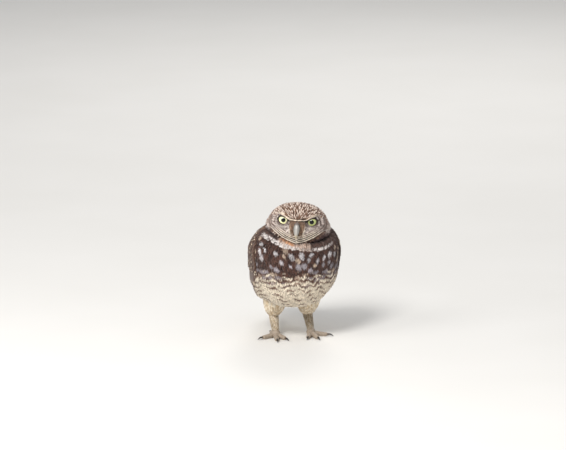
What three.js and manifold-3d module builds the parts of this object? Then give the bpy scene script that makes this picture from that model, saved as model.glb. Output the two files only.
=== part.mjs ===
// A burrowing owl at life size, crouched with its plumage fluffed and its head drawn down between the
// shoulders. Millimetres, +Z up. The owl faces -Y, its left wing is on +X, and it stands on z = 0.
// Flesh and small feathers are smooth forms. Wing and tail feathers are vanes that overlap in tiers.
import * as THREE from "three";
import { LoftGeometry } from "three/addons/geometries/LoftGeometry.js";
import { mergeVertices } from "three/addons/utils/BufferGeometryUtils.js";
import Module from "manifold-3d";

const wasm = await Module();
wasm.setup();

// Driving sizes
const GAP = 0.35; // clearance between neighbouring pieces
const SIMPLER = 0.04; // how far a surface may move where its triangles are thinned out
const HEAD_CENTRE = new THREE.Vector3(2, -12, 131);
const HEAD_HALF = { width: 33, depth: 29, height: 25 };
const HEAD_TURN = { up: 8, right: 15, roll: 3.7 }; // degrees, as the owl looks at its viewer
const EYE = { side: 15.7, up: 5, back: -16.4, radius: 7.2, iris: 5.5, pupil: 2.4, lid: 0.9 };
const APERTURE = { halfWidth: 5.5, halfHeight: 3.7, slant: 14 }; // the opening between the lids
const BILL = { root: 19, reach: 15.5, drop: 13.8, halfWidth: 3.9, halfDepth: 4.8 };
// A vane's edge thickness, the rise of its shaft, its lap over the next and its least half width
const VANE = { edge: 0.6, ridge: 0.3, lap: 0.5, overlap: 0.64, least: 3.2 };
const LEG = { side: 19, thighY: 16, thighZ: 37, heelY: 25, heelZ: 29, footY: 5, footZ: 6 };
const TOE = { rootRadius: 2.9, tipRadius: 2.2, clawRadius: 1.45, clawLength: 9 };

const X = new THREE.Vector3(1, 0, 0);
const rad = THREE.MathUtils.degToRad;
const lerp = THREE.MathUtils.lerp;

// A seeded draw from -1 to 1, for the small differences between feathers.
function seededDraw(seed) {
  let state = seed;
  return () => {
    state = (state * 1664525 + 1013904223) % 4294967296;
    return state / 2147483648 - 1;
  };
}

// Geometry to solid and back
function merged(geometry) {
  const bare = new THREE.BufferGeometry().copy(geometry);
  bare.deleteAttribute("normal");
  bare.deleteAttribute("uv");
  return mergeVertices(bare, 1e-3);
}

function solid(geometry) {
  const shape = merged(geometry);
  const vertProperties = shape.attributes.position.array;
  const triVerts = new Uint32Array(shape.index.array);
  return new wasm.Manifold(new wasm.Mesh({ numProp: 3, vertProperties, triVerts }));
}

// Only the largest closed surface is kept, so no scrap of a cut and no sealed hollow stays. A second
// pass over the rounded corners finds the hollows that hung on by a single corner.
function largest(shape) {
  return shape.decompose().reduce((a, b) => (a.volume() > b.volume() ? a : b));
}

const relaid = (shape) => solid(shapeGeometry(largest(shape)));
const tidied = (shape) => largest(relaid(relaid(shape.simplify(SIMPLER))));

function shapeGeometry(shape) {
  const { vertProperties, triVerts } = shape.getMesh();
  return new THREE.BufferGeometry()
    .setAttribute("position", new THREE.BufferAttribute(vertProperties, 3))
    .setIndex(new THREE.BufferAttribute(triVerts, 1));
}

const union = (shapes) => shapes.reduce((a, b) => a.add(b));

// The same form with its surface moved out, used to cut a neighbour clear of it.
function swollen(geometry, by = GAP) {
  const shape = merged(geometry);
  shape.computeVertexNormals();
  const { position, normal } = shape.attributes;
  for (let i = 0; i < position.count; i++)
    position.setXYZ(
      i,
      position.getX(i) + normal.getX(i) * by,
      position.getY(i) + normal.getY(i) * by,
      position.getZ(i) + normal.getZ(i) * by,
    );
  return shape;
}

// A closed skin through sections, each wound the same way, with flat ends
function loft(sections) {
  const ring = sections[0];
  const ahead = sections[1][0].clone().sub(ring[0]);
  const facing = new THREE.Vector3();
  ring.forEach((point, i) => facing.add(point.clone().cross(ring[(i + 1) % ring.length])));
  const wound = facing.dot(ahead) < 0 ? sections.map((section) => [...section].reverse()) : sections;
  return new LoftGeometry(wound, { capStart: true, capEnd: true });
}

// A round-sectioned limb along a curve. size(t) gives half the width and half the depth.
function limb(curve, size, sides, steps) {
  const sections = [];
  for (let i = 0; i <= steps; i++) {
    const t = i / steps;
    const along = curve.getTangent(t);
    const across = new THREE.Vector3(0, 0, 1).cross(along);
    if (across.length() < 0.05) across.copy(X);
    across.normalize();
    const over = along.clone().cross(across);
    const [width, depth] = size(t);
    sections.push(
      Array.from({ length: sides }, (_, k) => {
        const turn = ((k + 0.5) / sides) * 2 * Math.PI;
        return curve
          .getPoint(t)
          .addScaledVector(across, Math.cos(turn) * width)
          .addScaledVector(over, Math.sin(turn) * depth);
      }),
    );
  }
  return loft(sections);
}

function ball(centre, half, across = 20, down = 14) {
  return new THREE.SphereGeometry(1, across, down)
    .scale(half.x, half.y, half.z)
    .translate(centre.x, centre.y, centre.z);
}

// The body's outline, station by station from the neck to the tip of the tail:
// the back's y and z, the belly's y and z, and half the width.
const STATIONS = [
  [6, 141, -28, 130, 22],
  [20, 127, -38, 113, 42.5],
  [32, 112, -45, 97, 48.5],
  [43, 96, -47.5, 78, 47.5],
  [53, 80, -42, 59, 45],
  [62, 66, -27, 43, 40],
  [70, 55, -4, 35, 33],
  [78, 47, 24, 33, 25],
  [88, 41, 54, 34, 19.5],
  [100, 35.5, 88, 29, 18],
  [115, 29.5, 113, 25.5, 19],
];
const backLine = new THREE.SplineCurve(STATIONS.map(([y, z]) => new THREE.Vector2(y, z)));
const bellyLine = new THREE.SplineCurve(STATIONS.map(([, , y, z]) => new THREE.Vector2(y, z)));
const widthLine = new THREE.SplineCurve(STATIONS.map((row, i) => new THREE.Vector2(i, row[4])));

// The outline's point at u along the body (0 neck, 1 tail tip) and at an angle in degrees round it
// (0 the middle of the back, 90 the owl's left side, 180 the belly).
function outline(u, angle) {
  const t = THREE.MathUtils.clamp(u, 0, 1);
  const back = backLine.getPoint(t);
  const belly = bellyLine.getPoint(t);
  const up = Math.cos(rad(angle)) / 2;
  const side = Math.sin(rad(angle));
  return new THREE.Vector3(
    side * widthLine.getPoint(t).y,
    (back.x + belly.x) / 2 + up * (back.x - belly.x),
    (back.y + belly.y) / 2 + up * (back.y - belly.y),
  );
}

// A point at a height over the outline, and the direction straight out of it.
function over(u, angle, height) {
  const step = 0.01;
  const alongBody = outline(Math.min(u + step, 1), angle).sub(outline(Math.max(u - step, 0), angle));
  const roundBody = outline(u, angle + 2).sub(outline(u, angle - 2));
  const out = alongBody.cross(roundBody).normalize().negate();
  return { point: outline(u, angle).addScaledVector(out, height), out };
}

// The torso, from inside the head to the root of the tail
const TORSO = { start: 0.03, end: 0.86, sides: 26, rings: 14 };

function torsoForm() {
  const sections = [];
  for (let i = 0; i <= TORSO.rings; i++) {
    const t = i / TORSO.rings;
    const u = lerp(TORSO.start, TORSO.end, t);
    const rounding = Math.sqrt(Math.max(0, 1 - ((t - 0.5) / 0.5) ** 12)) || 0;
    const inset = rounding < 0.05 ? 0.3 : 0.3 + 0.7 * rounding;
    const middle = outline(u, 0).add(outline(u, 180)).multiplyScalar(0.5);
    sections.push(
      Array.from({ length: TORSO.sides }, (_, k) =>
        outline(u, (k / TORSO.sides) * 360).sub(middle).multiplyScalar(inset).add(middle),
      ),
    );
  }
  return loft(sections);
}

// One feather: a plate with a ridge along its shaft, laid over the body's outline.
// from and to are [u, angle] of its root and tip. Each value given as a pair runs from root to tip.
// A feather is tipped so that its lower edge laps over the next by VANE.lap.
const VANE_STATIONS = [0, 0.35, 0.7, 0.92, 1];
const VANE_WIDTHS = [0.6, 1, 1, 0.66, 0.2];
const along = (pair, t) => lerp(pair[0], pair[1], t);

function vane({ from, to, height, spacing, thickness }) {
  const sections = VANE_STATIONS.map((s, i) => {
    const at = (t) => over(along([from[0], to[0]], t), along([from[1], to[1]], t), along(height, t));
    const { point, out } = at(s);
    const shaft = at(Math.min(s + 0.02, 1)).point.sub(at(Math.max(s - 0.02, 0)).point).normalize();
    const across = shaft.clone().cross(out).normalize();
    const up = across.clone().cross(shaft).normalize();
    const pitch = along(spacing, s);
    const half = Math.max(VANE.overlap * pitch, VANE.least) * VANE_WIDTHS[i];
    const corner = (side, rise) => {
      const lift = rise + (side * half * VANE.lap) / pitch;
      return point.clone().addScaledVector(across, side * half).addScaledVector(up, lift);
    };
    const depth = -along(thickness, s ** 4);
    return [corner(-1, depth), corner(1, depth), corner(1, 0), corner(0, VANE.ridge), corner(-1, 0)];
  });
  return solid(loft(sections));
}

// A row of like feathers, from the outermost at share 0 to the innermost at share 1
function tier({ count, roots, tips, height, thickness, arch = 0 }, draw) {
  const place = (ends, share) => [0, 1].map((i) => along([ends[0][i], ends[1][i]], share));
  const apart = (ends) => {
    const [a, b] = [place(ends, 0.5), place(ends, 0.5 + 1 / (count - 1))];
    return outline(...a).distanceTo(outline(...b));
  };
  const spacing = [apart(roots), apart(tips)];
  return Array.from({ length: count }, (_, k) => {
    const share = k / (count - 1);
    const from = place(roots, share);
    const to = place(tips, share);
    to[0] += arch * (1 - (2 * share - 1) ** 2) + 0.005 * draw();
    to[1] += 0.6 * draw();
    return vane({ from, to, height, spacing, thickness });
  });
}

// The folded wing: a pad of arm and small coverts, and over it each tier of feathers
const WING_PAD = { start: 0.09, end: 0.83, rings: 9, points: 7 };
const WING_TIERS = [
  // primaries, whose tips reach the end of the tail
  {
    count: 7,
    roots: [[0.5, 104], [0.5, 76]],
    tips: [[0.9, 68], [0.955, 10]],
    height: [0.7, 1.6],
    thickness: [2.2, 0.8],
    arch: 0.03,
  },
  // secondaries, down to the innermost on the back
  {
    count: 7,
    roots: [[0.42, 104], [0.38, 40]],
    tips: [[0.78, 90], [0.84, 12]],
    height: [1.2, 2.7],
    thickness: [3.2, 2.3],
  },
  // greater coverts
  {
    count: 6,
    roots: [[0.32, 103], [0.3, 46]],
    tips: [[0.57, 99], [0.58, 36]],
    height: [1.2, 3.3],
    thickness: [3.4, 3.4],
  },
  // median coverts
  {
    count: 5,
    roots: [[0.22, 102], [0.2, 52]],
    tips: [[0.42, 100], [0.43, 42]],
    height: [1.2, 4.1],
    thickness: [4, 4.2],
  },
  // scapulars, along the upper edge of the wing
  {
    count: 5,
    roots: [[0.15, 56], [0.42, 26]],
    tips: [[0.36, 42], [0.7, 16]],
    height: [0.4, 4.6],
    thickness: [4, 4.7],
  },
];

// How far round the body the pad's upper and lower edges lie, at t from the wrist to the tip
const padUpper = (t) => lerp(lerp(48, 24, Math.min(1, t * 3)), 12, t);
const padLower = (t) => lerp(lerp(84, 110, Math.min(1, t * 4)), 84, t);

function wingPad() {
  const sections = [];
  for (let i = 0; i <= WING_PAD.rings; i++) {
    const t = i / WING_PAD.rings;
    const u = lerp(WING_PAD.start, WING_PAD.end, t);
    const thickness = lerp(2.2, 0.3, t) * Math.min(1, 0.3 + 4 * t);
    const angle = (k) => lerp(padLower(t), padUpper(t), k / (WING_PAD.points - 1));
    const top = Array.from({ length: WING_PAD.points }, (_, k) => {
      const swell = Math.sqrt(Math.sin((Math.PI * k) / (WING_PAD.points - 1)));
      return over(u, angle(k), 0.2 + (thickness - 0.2) * swell).point;
    });
    const under = Array.from({ length: WING_PAD.points }, (_, k) => over(u, angle(k), -0.9).point);
    sections.push([...top, ...under.reverse()]);
  }
  return solid(loft(sections));
}

function wing(draw) {
  return union([wingPad(), ...WING_TIERS.flatMap((row) => tier(row, draw))]);
}

// The tail: twelve feathers lapping outwards from the middle pair, under a pad of tail coverts
const TAIL = { count: 12, root: 0.78, tip: 0.985, halfWidth: 4.4, rootSpread: 6, spread: 14.5, padEnd: 0.93 };

function tailFeather(k, draw) {
  const place = (2 * k + 1) / TAIL.count - 1; // towards -1 on the right, 1 on the left
  const end = TAIL.tip - 0.03 * place * place + 0.003 * draw();
  const [root, tip] = [backLine.getPoint(TAIL.root), backLine.getPoint(end)];
  const up = new THREE.Vector2(root.y - tip.y, tip.x - root.x).normalize();
  const sections = VANE_STATIONS.map((s, i) => {
    const middle = backLine.getPoint(lerp(TAIL.root, end, s));
    const spread = lerp(TAIL.rootSpread, TAIL.spread, s);
    const pitch = (2 * spread) / TAIL.count;
    const half = TAIL.halfWidth * VANE_WIDTHS[i];
    const outward = Math.sign(place);
    const drop = 2.6 + VANE.lap * Math.abs(place) * (TAIL.count / 2);
    const corner = (across, rise) => {
      const height = rise - drop + (outward * across * half * VANE.lap) / pitch;
      const at = middle.clone().addScaledVector(up, height);
      return new THREE.Vector3(place * spread + across * half, at.x, at.y);
    };
    return [corner(-1, -0.8), corner(1, -0.8), corner(1, 0), corner(0, VANE.ridge), corner(-1, 0)];
  });
  return solid(loft(sections));
}

function tailPad() {
  const sections = [];
  const rings = 7;
  for (let i = 0; i <= rings; i++) {
    const t = i / rings;
    const u = lerp(0.72, TAIL.padEnd, t);
    const inset = lerp(0.8, 0.35, t * t);
    const middle = outline(u, 0).add(outline(u, 180)).multiplyScalar(0.5);
    sections.push(
      Array.from({ length: 14 }, (_, k) =>
        outline(u, (k / 14) * 360).sub(middle).multiplyScalar(inset).add(middle),
      ),
    );
  }
  return solid(loft(sections));
}

function tail() {
  const draw = seededDraw(12);
  const feathers = Array.from({ length: TAIL.count }, (_, k) => tailFeather(k, draw));
  return union([tailPad(), ...feathers]);
}

// The head, in its own frame: the face towards -Y, its centre at the origin.
// Each line of the face is a ridge or hollow given by its place across (x) and up (z).
const ridge = (distance, width) => Math.exp(-((distance / width) ** 2));

function faceRelief(x, z) {
  const side = Math.abs(x);
  const eyeHollow = ridge(Math.hypot(side - EYE.side, (z - EYE.up + 1) * 1.15), 8.5);
  const browLine = 6.2 + 0.3 * side; // the brow rises outwards from the root of the bill
  const brow = ridge(z - browLine - 1.5, 2.6) * ridge(Math.max(0, side - 20), 7);
  const bridge = ridge(side, 4.5) * ridge(Math.max(0, Math.abs(z) - 5), 5);
  const rimRadius = Math.hypot(side * 0.72, (z + 1) * 1.02);
  const rim = ridge(rimRadius - 20, 2.6) * (z < 2 ? 1 : ridge(z - 2, 6));
  const cheek = ridge(Math.hypot(side - 20, z + 7), 7);
  return -1.4 * eyeHollow + 2.2 * brow + 1.6 * bridge + 1.5 * rim + 0.9 * cheek;
}

function headForm() {
  const geometry = new THREE.IcosahedronGeometry(1, 9);
  const position = geometry.attributes.position;
  const p = new THREE.Vector3();
  for (let i = 0; i < position.count; i++) {
    p.fromBufferAttribute(position, i);
    const jowl = 1 + 0.06 * ridge(p.z + 0.35, 0.4);
    const flatTop = p.z > 0 ? 1 - 0.04 * p.z ** 4 : 1;
    const at = new THREE.Vector3(
      p.x * HEAD_HALF.width * jowl,
      p.y * HEAD_HALF.depth * (p.y < 0 ? 0.95 : 1),
      p.z * HEAD_HALF.height * flatTop,
    );
    const facing = THREE.MathUtils.smoothstep(-p.y, 0.15, 0.6);
    at.y -= facing * faceRelief(at.x, at.z);
    position.setXYZ(i, at.x, at.y, at.z);
  }
  return geometry;
}

const headMatrix = new THREE.Matrix4()
  .makeTranslation(HEAD_CENTRE)
  .multiply(new THREE.Matrix4().makeRotationZ(rad(-HEAD_TURN.right)))
  .multiply(new THREE.Matrix4().makeRotationX(rad(-HEAD_TURN.up)))
  .multiply(new THREE.Matrix4().makeRotationY(rad(HEAD_TURN.roll)));

const eyeCentre = (side) => new THREE.Vector3(side * EYE.side, EYE.back, EYE.up);
const sphere = (centre, radius) => ball(centre, new THREE.Vector3(radius, radius, radius), 16, 11);

// The opening between the lids, an oval whose upper edge slants down to the bill under the brow
function aperture(side) {
  const shape = new THREE.Shape();
  shape.absellipse(0, 0, APERTURE.halfWidth, APERTURE.halfHeight, 0, 2 * Math.PI);
  return new THREE.ExtrudeGeometry(shape, { depth: 14, bevelEnabled: false, curveSegments: 9 })
    .rotateX(rad(90))
    .rotateY(side * rad(APERTURE.slant))
    .translate(side * EYE.side, EYE.back, EYE.up);
}

function head() {
  let shape = solid(headForm());
  for (const side of [-1, 1]) {
    const lids = solid(sphere(eyeCentre(side), EYE.radius + GAP + EYE.lid));
    const socket = solid(sphere(eyeCentre(side), EYE.radius + GAP));
    shape = shape.add(lids).subtract(socket).subtract(solid(aperture(side)));
  }
  return shape;
}

// The eye: a globe with a cup in it for the pupil
const sightLine = (side, radius) =>
  new THREE.CylinderGeometry(radius, radius, 6, 12)
    .translate(0, -EYE.radius + 1.2, 0)
    .translate(...eyeCentre(side).toArray());
const globe = (side) =>
  solid(sphere(eyeCentre(side), EYE.radius)).subtract(solid(sightLine(side, EYE.pupil + GAP)));
const pupil = (side) => {
  const front = solid(sphere(eyeCentre(side), EYE.radius));
  const plug = solid(sightLine(side, EYE.pupil).translate(0, -GAP, 0));
  return largest(front.intersect(plug));
};

// The bill: a hooked upper half with its nostrils, over a short lower half
function billUpperForm() {
  const { root, reach, drop } = BILL;
  const line = new THREE.CubicBezierCurve3(
    new THREE.Vector3(0, -root, 1.5),
    new THREE.Vector3(0, -root - reach * 0.8, 2.5),
    new THREE.Vector3(0, -root - reach * 1.08, -drop * 0.35),
    new THREE.Vector3(0, -root - reach * 0.85, -drop),
  );
  const size = (t) => {
    const fullness = Math.pow(1 - t ** 2.4, 0.75);
    return [0.35 + (BILL.halfWidth - 0.35) * fullness, 0.4 + (BILL.halfDepth - 0.4) * fullness];
  };
  return limb(line, size, 12, 9);
}

function billLowerForm() {
  const line = new THREE.QuadraticBezierCurve3(
    new THREE.Vector3(0, -19, -8.5),
    new THREE.Vector3(0, -26, -8.5),
    new THREE.Vector3(0, -30, -11),
  );
  return limb(line, (t) => [lerp(3, 0.9, t), lerp(2.4, 0.8, t)], 10, 5);
}

function nostril(side) {
  return solid(ball(new THREE.Vector3(side * 3.7, -31, 0.4), new THREE.Vector3(1.1, 1.1, 1.1), 10, 6));
}

// A thigh, shank, foot, toes and claws
const thighForm = (side) =>
  limb(
    new THREE.QuadraticBezierCurve3(
      new THREE.Vector3(side * LEG.side, LEG.thighY - 6, LEG.thighZ + 12),
      new THREE.Vector3(side * LEG.side, LEG.thighY, LEG.thighZ - 4),
      new THREE.Vector3(side * LEG.side, LEG.heelY + 2, LEG.heelZ - 6),
    ),
    (t) => [lerp(14, 9, t) * Math.sqrt(1 - 0.85 * t ** 5), lerp(17, 9.5, t) * Math.sqrt(1 - 0.85 * t ** 5)],
    14,
    8,
  );

const shankForm = (side) =>
  limb(
    new THREE.LineCurve3(
      new THREE.Vector3(side * LEG.side, LEG.heelY, LEG.heelZ),
      new THREE.Vector3(side * (LEG.side + 1), LEG.footY, LEG.footZ),
    ),
    (t) => [lerp(5.4, 3.4, t), lerp(6, 3.6, t)],
    12,
    5,
  );

const footCentre = (side) => new THREE.Vector3(side * (LEG.side + 1), LEG.footY - 1, 3.9);
const footForm = (side) => ball(footCentre(side), new THREE.Vector3(5, 5.6, 4.6), 12, 8);

// Each toe's heading in degrees from straight ahead, outwards positive, and its length
const TOES = [
  { name: "inner", heading: -22, length: 15 },
  { name: "middle", heading: 8, length: 18 },
  { name: "outer", heading: 62, length: 15 },
  { name: "hind", heading: 172, length: 11 },
];

function toeLine(side, { heading, length }) {
  const way = new THREE.Vector3(side * Math.sin(rad(heading)), -Math.cos(rad(heading)), 0);
  const start = footCentre(side).addScaledVector(way, 2.5).setZ(2.5);
  const knuckle = start.clone().addScaledVector(way, length * 0.55).setZ(2.2);
  const end = start.clone().addScaledVector(way, length).setZ(1.8);
  return { way, line: new THREE.QuadraticBezierCurve3(start, knuckle, end) };
}

const toeForm = (line) => {
  const pad = (t) => 0.25 * Math.cos(t * 6 * Math.PI);
  return limb(
    line,
    (t) => [lerp(TOE.rootRadius, TOE.tipRadius, t) + pad(t), lerp(TOE.rootRadius, TOE.tipRadius, t)],
    8,
    6,
  );
};

function clawForm({ way, line }) {
  const root = line.getPoint(1).addScaledVector(line.getTangent(1), GAP).setZ(2.2);
  const rise = root.clone().addScaledVector(way, TOE.clawLength * 0.62).setZ(3.6);
  const tip = root.clone().addScaledVector(way, TOE.clawLength * 0.92).setZ(0.55);
  const bend = new THREE.QuadraticBezierCurve3(root, rise, tip);
  const radius = (t) => lerp(TOE.clawRadius, 0.25, t ** 1.3);
  return limb(bend, (t) => [radius(t), radius(t)], 6, 5);
}

// Everything that stands on the floor is cut flat there.
const onFloor = (shape) => shape.trimByPlane([0, 0, 1], 0);

// Colours and finish
const paint = (color, roughness, metalness = 0) => () =>
  new THREE.MeshStandardMaterial({ color, roughness, metalness });
const PAINT = {
  head: paint(0x8a6f5c, 0.9),
  body: paint(0x5f4434, 0.9),
  wing: paint(0x6b5140, 0.85),
  leg: paint(0xb9a995, 0.9),
  toe: paint(0x8d8071, 0.75),
  claw: paint(0x2c2622, 0.35),
  bill: paint(0xa9a38c, 0.4),
  iris: paint(0xc9cc55, 0.15),
  pupil: paint(0x0a0a0a, 0.1),
};

const pieces = [];
const addPiece = (name, shape, material) => pieces.push({ name, shape: largest(shape), material });

// Head, neck and torso are one form, parted by two thin level cuts.
const torsoShape = torsoForm();
const headShape = headForm().applyMatrix4(headMatrix);
const placed = (shape) => solid(shapeGeometry(shape).applyMatrix4(headMatrix));

const CUT = { normal: [0, -0.45, 0.89], level: 106 }; // the plane between neck and torso, along its normal
const facingDown = CUT.normal.map((n) => -n);
const headClear = solid(swollen(headShape));

addPiece("head", placed(head()), PAINT.head);
const above = solid(torsoShape).trimByPlane(CUT.normal, CUT.level + GAP / 2);
const below = solid(torsoShape).trimByPlane(facingDown, GAP / 2 - CUT.level);
addPiece("neck", above.subtract(headClear), PAINT.head);
addPiece("torso", below.subtract(headClear), PAINT.body);

const bodyClearance = solid(swollen(torsoShape)).add(headClear);
const headClearance = solid(swollen(headForm()));
const billClearance = solid(swollen(billUpperForm()));

addPiece("tail", tail().subtract(bodyClearance), PAINT.wing);

addPiece(
  "bill_upper",
  placed(solid(billUpperForm()).subtract(headClearance).subtract(nostril(-1)).subtract(nostril(1))),
  PAINT.bill,
);
addPiece(
  "bill_lower",
  placed(solid(billLowerForm()).subtract(headClearance).subtract(billClearance)),
  PAINT.bill,
);

for (const [label, side] of [["left", 1], ["right", -1]]) {
  const draw = seededDraw(side > 0 ? 31 : 47);
  addPiece(`wing_${label}`, wing(draw).scale([side, 1, 1]).subtract(bodyClearance), PAINT.wing);
  addPiece(`eye_${label}`, placed(globe(side)), PAINT.iris);
  addPiece(`pupil_${label}`, placed(pupil(side)), PAINT.pupil);

  addPiece(`thigh_${label}`, solid(thighForm(side)).subtract(bodyClearance), PAINT.body);
  const thighClearance = solid(swollen(thighForm(side)));
  addPiece(`shank_${label}`, solid(shankForm(side)).subtract(thighClearance), PAINT.leg);
  const shankClearance = solid(swollen(shankForm(side)));
  const toes = TOES.map((toe) => ({ ...toeLine(side, toe), name: toe.name }));
  const foot = union([solid(footForm(side)), ...toes.map(({ line }) => solid(toeForm(line)))]);
  addPiece(`foot_${label}`, onFloor(foot.subtract(shankClearance)), PAINT.toe);
  for (const { name, way, line } of toes) {
    const claw = solid(clawForm({ way, line })).subtract(solid(swollen(toeForm(line))));
    addPiece(`claw_${name}_${label}`, claw, PAINT.claw);
  }
}

// The origin is the middle of the base of the box round the whole owl.
const box = new THREE.Box3();
for (const { shape } of pieces) {
  const { min, max } = shape.boundingBox();
  box.expandByPoint(new THREE.Vector3(...min)).expandByPoint(new THREE.Vector3(...max));
}
const middle = box.getCenter(new THREE.Vector3());

const owl = new THREE.Group();
for (const { name, shape, material } of pieces) {
  const geometry = shapeGeometry(tidied(shape.translate([-middle.x, -middle.y, -box.min.z])));
  geometry.computeVertexNormals();
  const piece = new THREE.Mesh(geometry, material());
  piece.name = name;
  owl.add(piece);
}

export default owl;
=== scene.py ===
import itertools
import math

import bmesh
import bpy
import numpy as np
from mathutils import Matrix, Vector
from mathutils.bvhtree import BVHTree
from mathutils.kdtree import KDTree


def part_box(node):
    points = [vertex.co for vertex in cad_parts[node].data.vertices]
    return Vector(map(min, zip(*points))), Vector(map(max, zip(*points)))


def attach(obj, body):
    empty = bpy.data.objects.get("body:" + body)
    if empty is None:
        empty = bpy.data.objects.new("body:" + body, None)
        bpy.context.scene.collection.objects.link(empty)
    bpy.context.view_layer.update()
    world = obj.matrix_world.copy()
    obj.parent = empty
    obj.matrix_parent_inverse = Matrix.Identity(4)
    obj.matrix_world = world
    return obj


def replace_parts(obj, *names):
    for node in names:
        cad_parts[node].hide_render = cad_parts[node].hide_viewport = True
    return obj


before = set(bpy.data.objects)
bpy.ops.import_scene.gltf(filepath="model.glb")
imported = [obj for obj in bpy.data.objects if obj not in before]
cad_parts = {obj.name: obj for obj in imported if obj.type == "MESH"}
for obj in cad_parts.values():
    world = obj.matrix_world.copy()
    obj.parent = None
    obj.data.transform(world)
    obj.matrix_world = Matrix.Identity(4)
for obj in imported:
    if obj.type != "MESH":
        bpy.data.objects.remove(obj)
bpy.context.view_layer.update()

# Skin. A living owl's skin is thin and wholly under the plumage but for lids and toes. One closed
# surface runs over head, body, wings and legs, sunk by the depth of the coat. Sizes are
# millimetres in the solids' own frame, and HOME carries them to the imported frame.
MM = 0.001
HOME = np.array([0.0, -32.44, 0.0])
STEP = {"u": 0.01, "angle": 0.035, "way": 0.03}  # between the places that a slope is taken from
ASKEW = np.array([0.31, 0.2, 0.93])  # any way that no feather of the head points along

# The body's outline from neck to tail: back y and z, belly y and z, half the width
STATIONS = np.array([
    [6, 141, -28, 130, 22],
    [20, 127, -38, 113, 42.5],
    [32, 112, -45, 97, 48.5],
    [43, 96, -47.5, 78, 47.5],
    [53, 80, -42, 59, 45],
    [62, 66, -27, 43, 40],
    [70, 55, -4, 35, 33],
    [78, 47, 24, 33, 25],
    [88, 41, 54, 34, 19.5],
    [100, 35.5, 88, 29, 18],
    [115, 29.5, 113, 25.5, 19],
])
HEAD_CENTRE = np.array([2, -12, 131]) + HOME
HEAD_HALF = np.array([33, 29, 25])
EYE = {"side": 15.7, "up": 5.0, "back": -16.4, "radius": 7.2}
COAT = {"body": 3.2, "wing": 2.6, "head": 1.6}  # depth of the plumage over the skin
SKIN_VOXEL = 0.0012


def unit(v):
    return v / np.maximum(np.linalg.norm(v, axis=-1, keepdims=True), 1e-9)


def ease(x, low, high):
    """0 below low and 1 above high, with a smooth rise between."""
    t = np.clip((x - low) / (high - low), 0, 1)
    return t * t * (3 - 2 * t)


def bump(distance, width):
    """1 where the distance is 0, falling away over the width."""
    return np.exp(-((distance / width) ** 2))


def along_line(points, t):
    """A smooth line through evenly counted points; t runs from 0 to 1."""
    last = len(points) - 1
    place = np.clip(t, 0, 1) * last
    i = np.minimum(place.astype(int), last - 1)
    w = (place - i)[..., None]
    before, start, end, after = (points[np.clip(i + k, 0, last)] for k in (-1, 0, 1, 2))
    leave, arrive = (end - before) / 2, (after - start) / 2
    return (
        (2 * start - 2 * end + leave + arrive) * w**3
        + (3 * end - 3 * start - 2 * leave - arrive) * w**2
        + leave * w
        + start
    )


def outline(u, angle):
    """The coat's outer surface at u along the body (0 neck, 1 tail) and an angle round it."""
    u, angle = np.broadcast_arrays(np.asarray(u, float), np.asarray(angle, float))
    back_y, back_z, belly_y, belly_z, half = np.moveaxis(along_line(STATIONS, u), -1, 0)
    up = np.cos(angle) / 2
    y = (back_y + belly_y) / 2 + up * (back_y - belly_y)
    z = (back_z + belly_z) / 2 + up * (back_z - belly_z)
    return np.stack([np.sin(angle) * half, y, z], -1) + HOME


def over_body(u, angle, height):
    """A point at a height over the outline, and the way straight out."""
    step = STEP["u"]
    along = outline(np.minimum(u + step, 1), angle) - outline(np.maximum(u - step, 0), angle)
    around = outline(u, angle + STEP["angle"]) - outline(u, angle - STEP["angle"])
    out = -unit(np.cross(along, around))
    return outline(u, angle) + out * np.asarray(height)[..., None], out


def turn(axis, degrees):
    c, s = math.cos(math.radians(degrees)), math.sin(math.radians(degrees))
    i, j = [k for k in range(3) if k != axis]
    m = np.eye(3)
    m[i, i] = m[j, j] = c
    m[i, j], m[j, i] = (-s, s) if axis != 1 else (s, -s)
    return m


# The head is turned to the owl's right, bowed and tipped aside.
HEAD_TURN = turn(2, -15) @ turn(0, -8) @ turn(1, 3.7)


def to_head(points):
    return (points - HEAD_CENTRE) @ HEAD_TURN


def from_head(points):
    return points @ HEAD_TURN.T + HEAD_CENTRE


def face_relief(x, z):
    """Ridges and hollows of the face: eye hollows, brow, bridge, rim of the disc, cheeks."""
    side = np.abs(x)
    hollow = bump(np.hypot(side - EYE["side"], (z - EYE["up"] + 1) * 1.15), 8.5)
    brow = bump(z - (6.2 + 0.3 * side) - 1.5, 2.6) * bump(np.maximum(0, side - 20), 7)
    bridge = bump(side, 4.5) * bump(np.maximum(0, np.abs(z) - 5), 5)
    rim = bump(np.hypot(side * 0.72, (z + 1) * 1.02) - 20, 2.6) * bump(np.maximum(0, z - 2), 6)
    cheek = bump(np.hypot(side - 20, z + 7), 7)
    return -1.4 * hollow + 2.2 * brow + 1.6 * bridge + 1.5 * rim + 0.9 * cheek


def head_form(way):
    """The head's outer surface in its own frame (face to -Y) in a direction from its centre."""
    x, y, z = np.moveaxis(unit(way), -1, 0)
    jowl = 1 + 0.06 * bump(z + 0.35, 0.4)
    flat_top = np.where(z > 0, 1 - 0.04 * z**4, 1)
    form = np.stack([x * jowl, y * np.where(y < 0, 0.95, 1), z * flat_top], -1) * HEAD_HALF
    form[..., 1] -= ease(-y, 0.15, 0.6) * face_relief(form[..., 0], form[..., 2])
    return form


def over_head(way, height):
    """As over_body, for a direction in the head's own frame."""
    way = unit(way)
    one = unit(np.cross(way, ASKEW))
    two = np.cross(way, one)
    across, upward = (
        head_form(way + STEP["way"] * aside) - head_form(way - STEP["way"] * aside) for aside in (one, two)
    )
    out = unit(np.cross(across, upward))
    out = out * np.sign(np.sum(out * way, -1, keepdims=True))
    return from_head(head_form(way) + out * np.asarray(height)[..., None]), out @ HEAD_TURN.T


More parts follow.
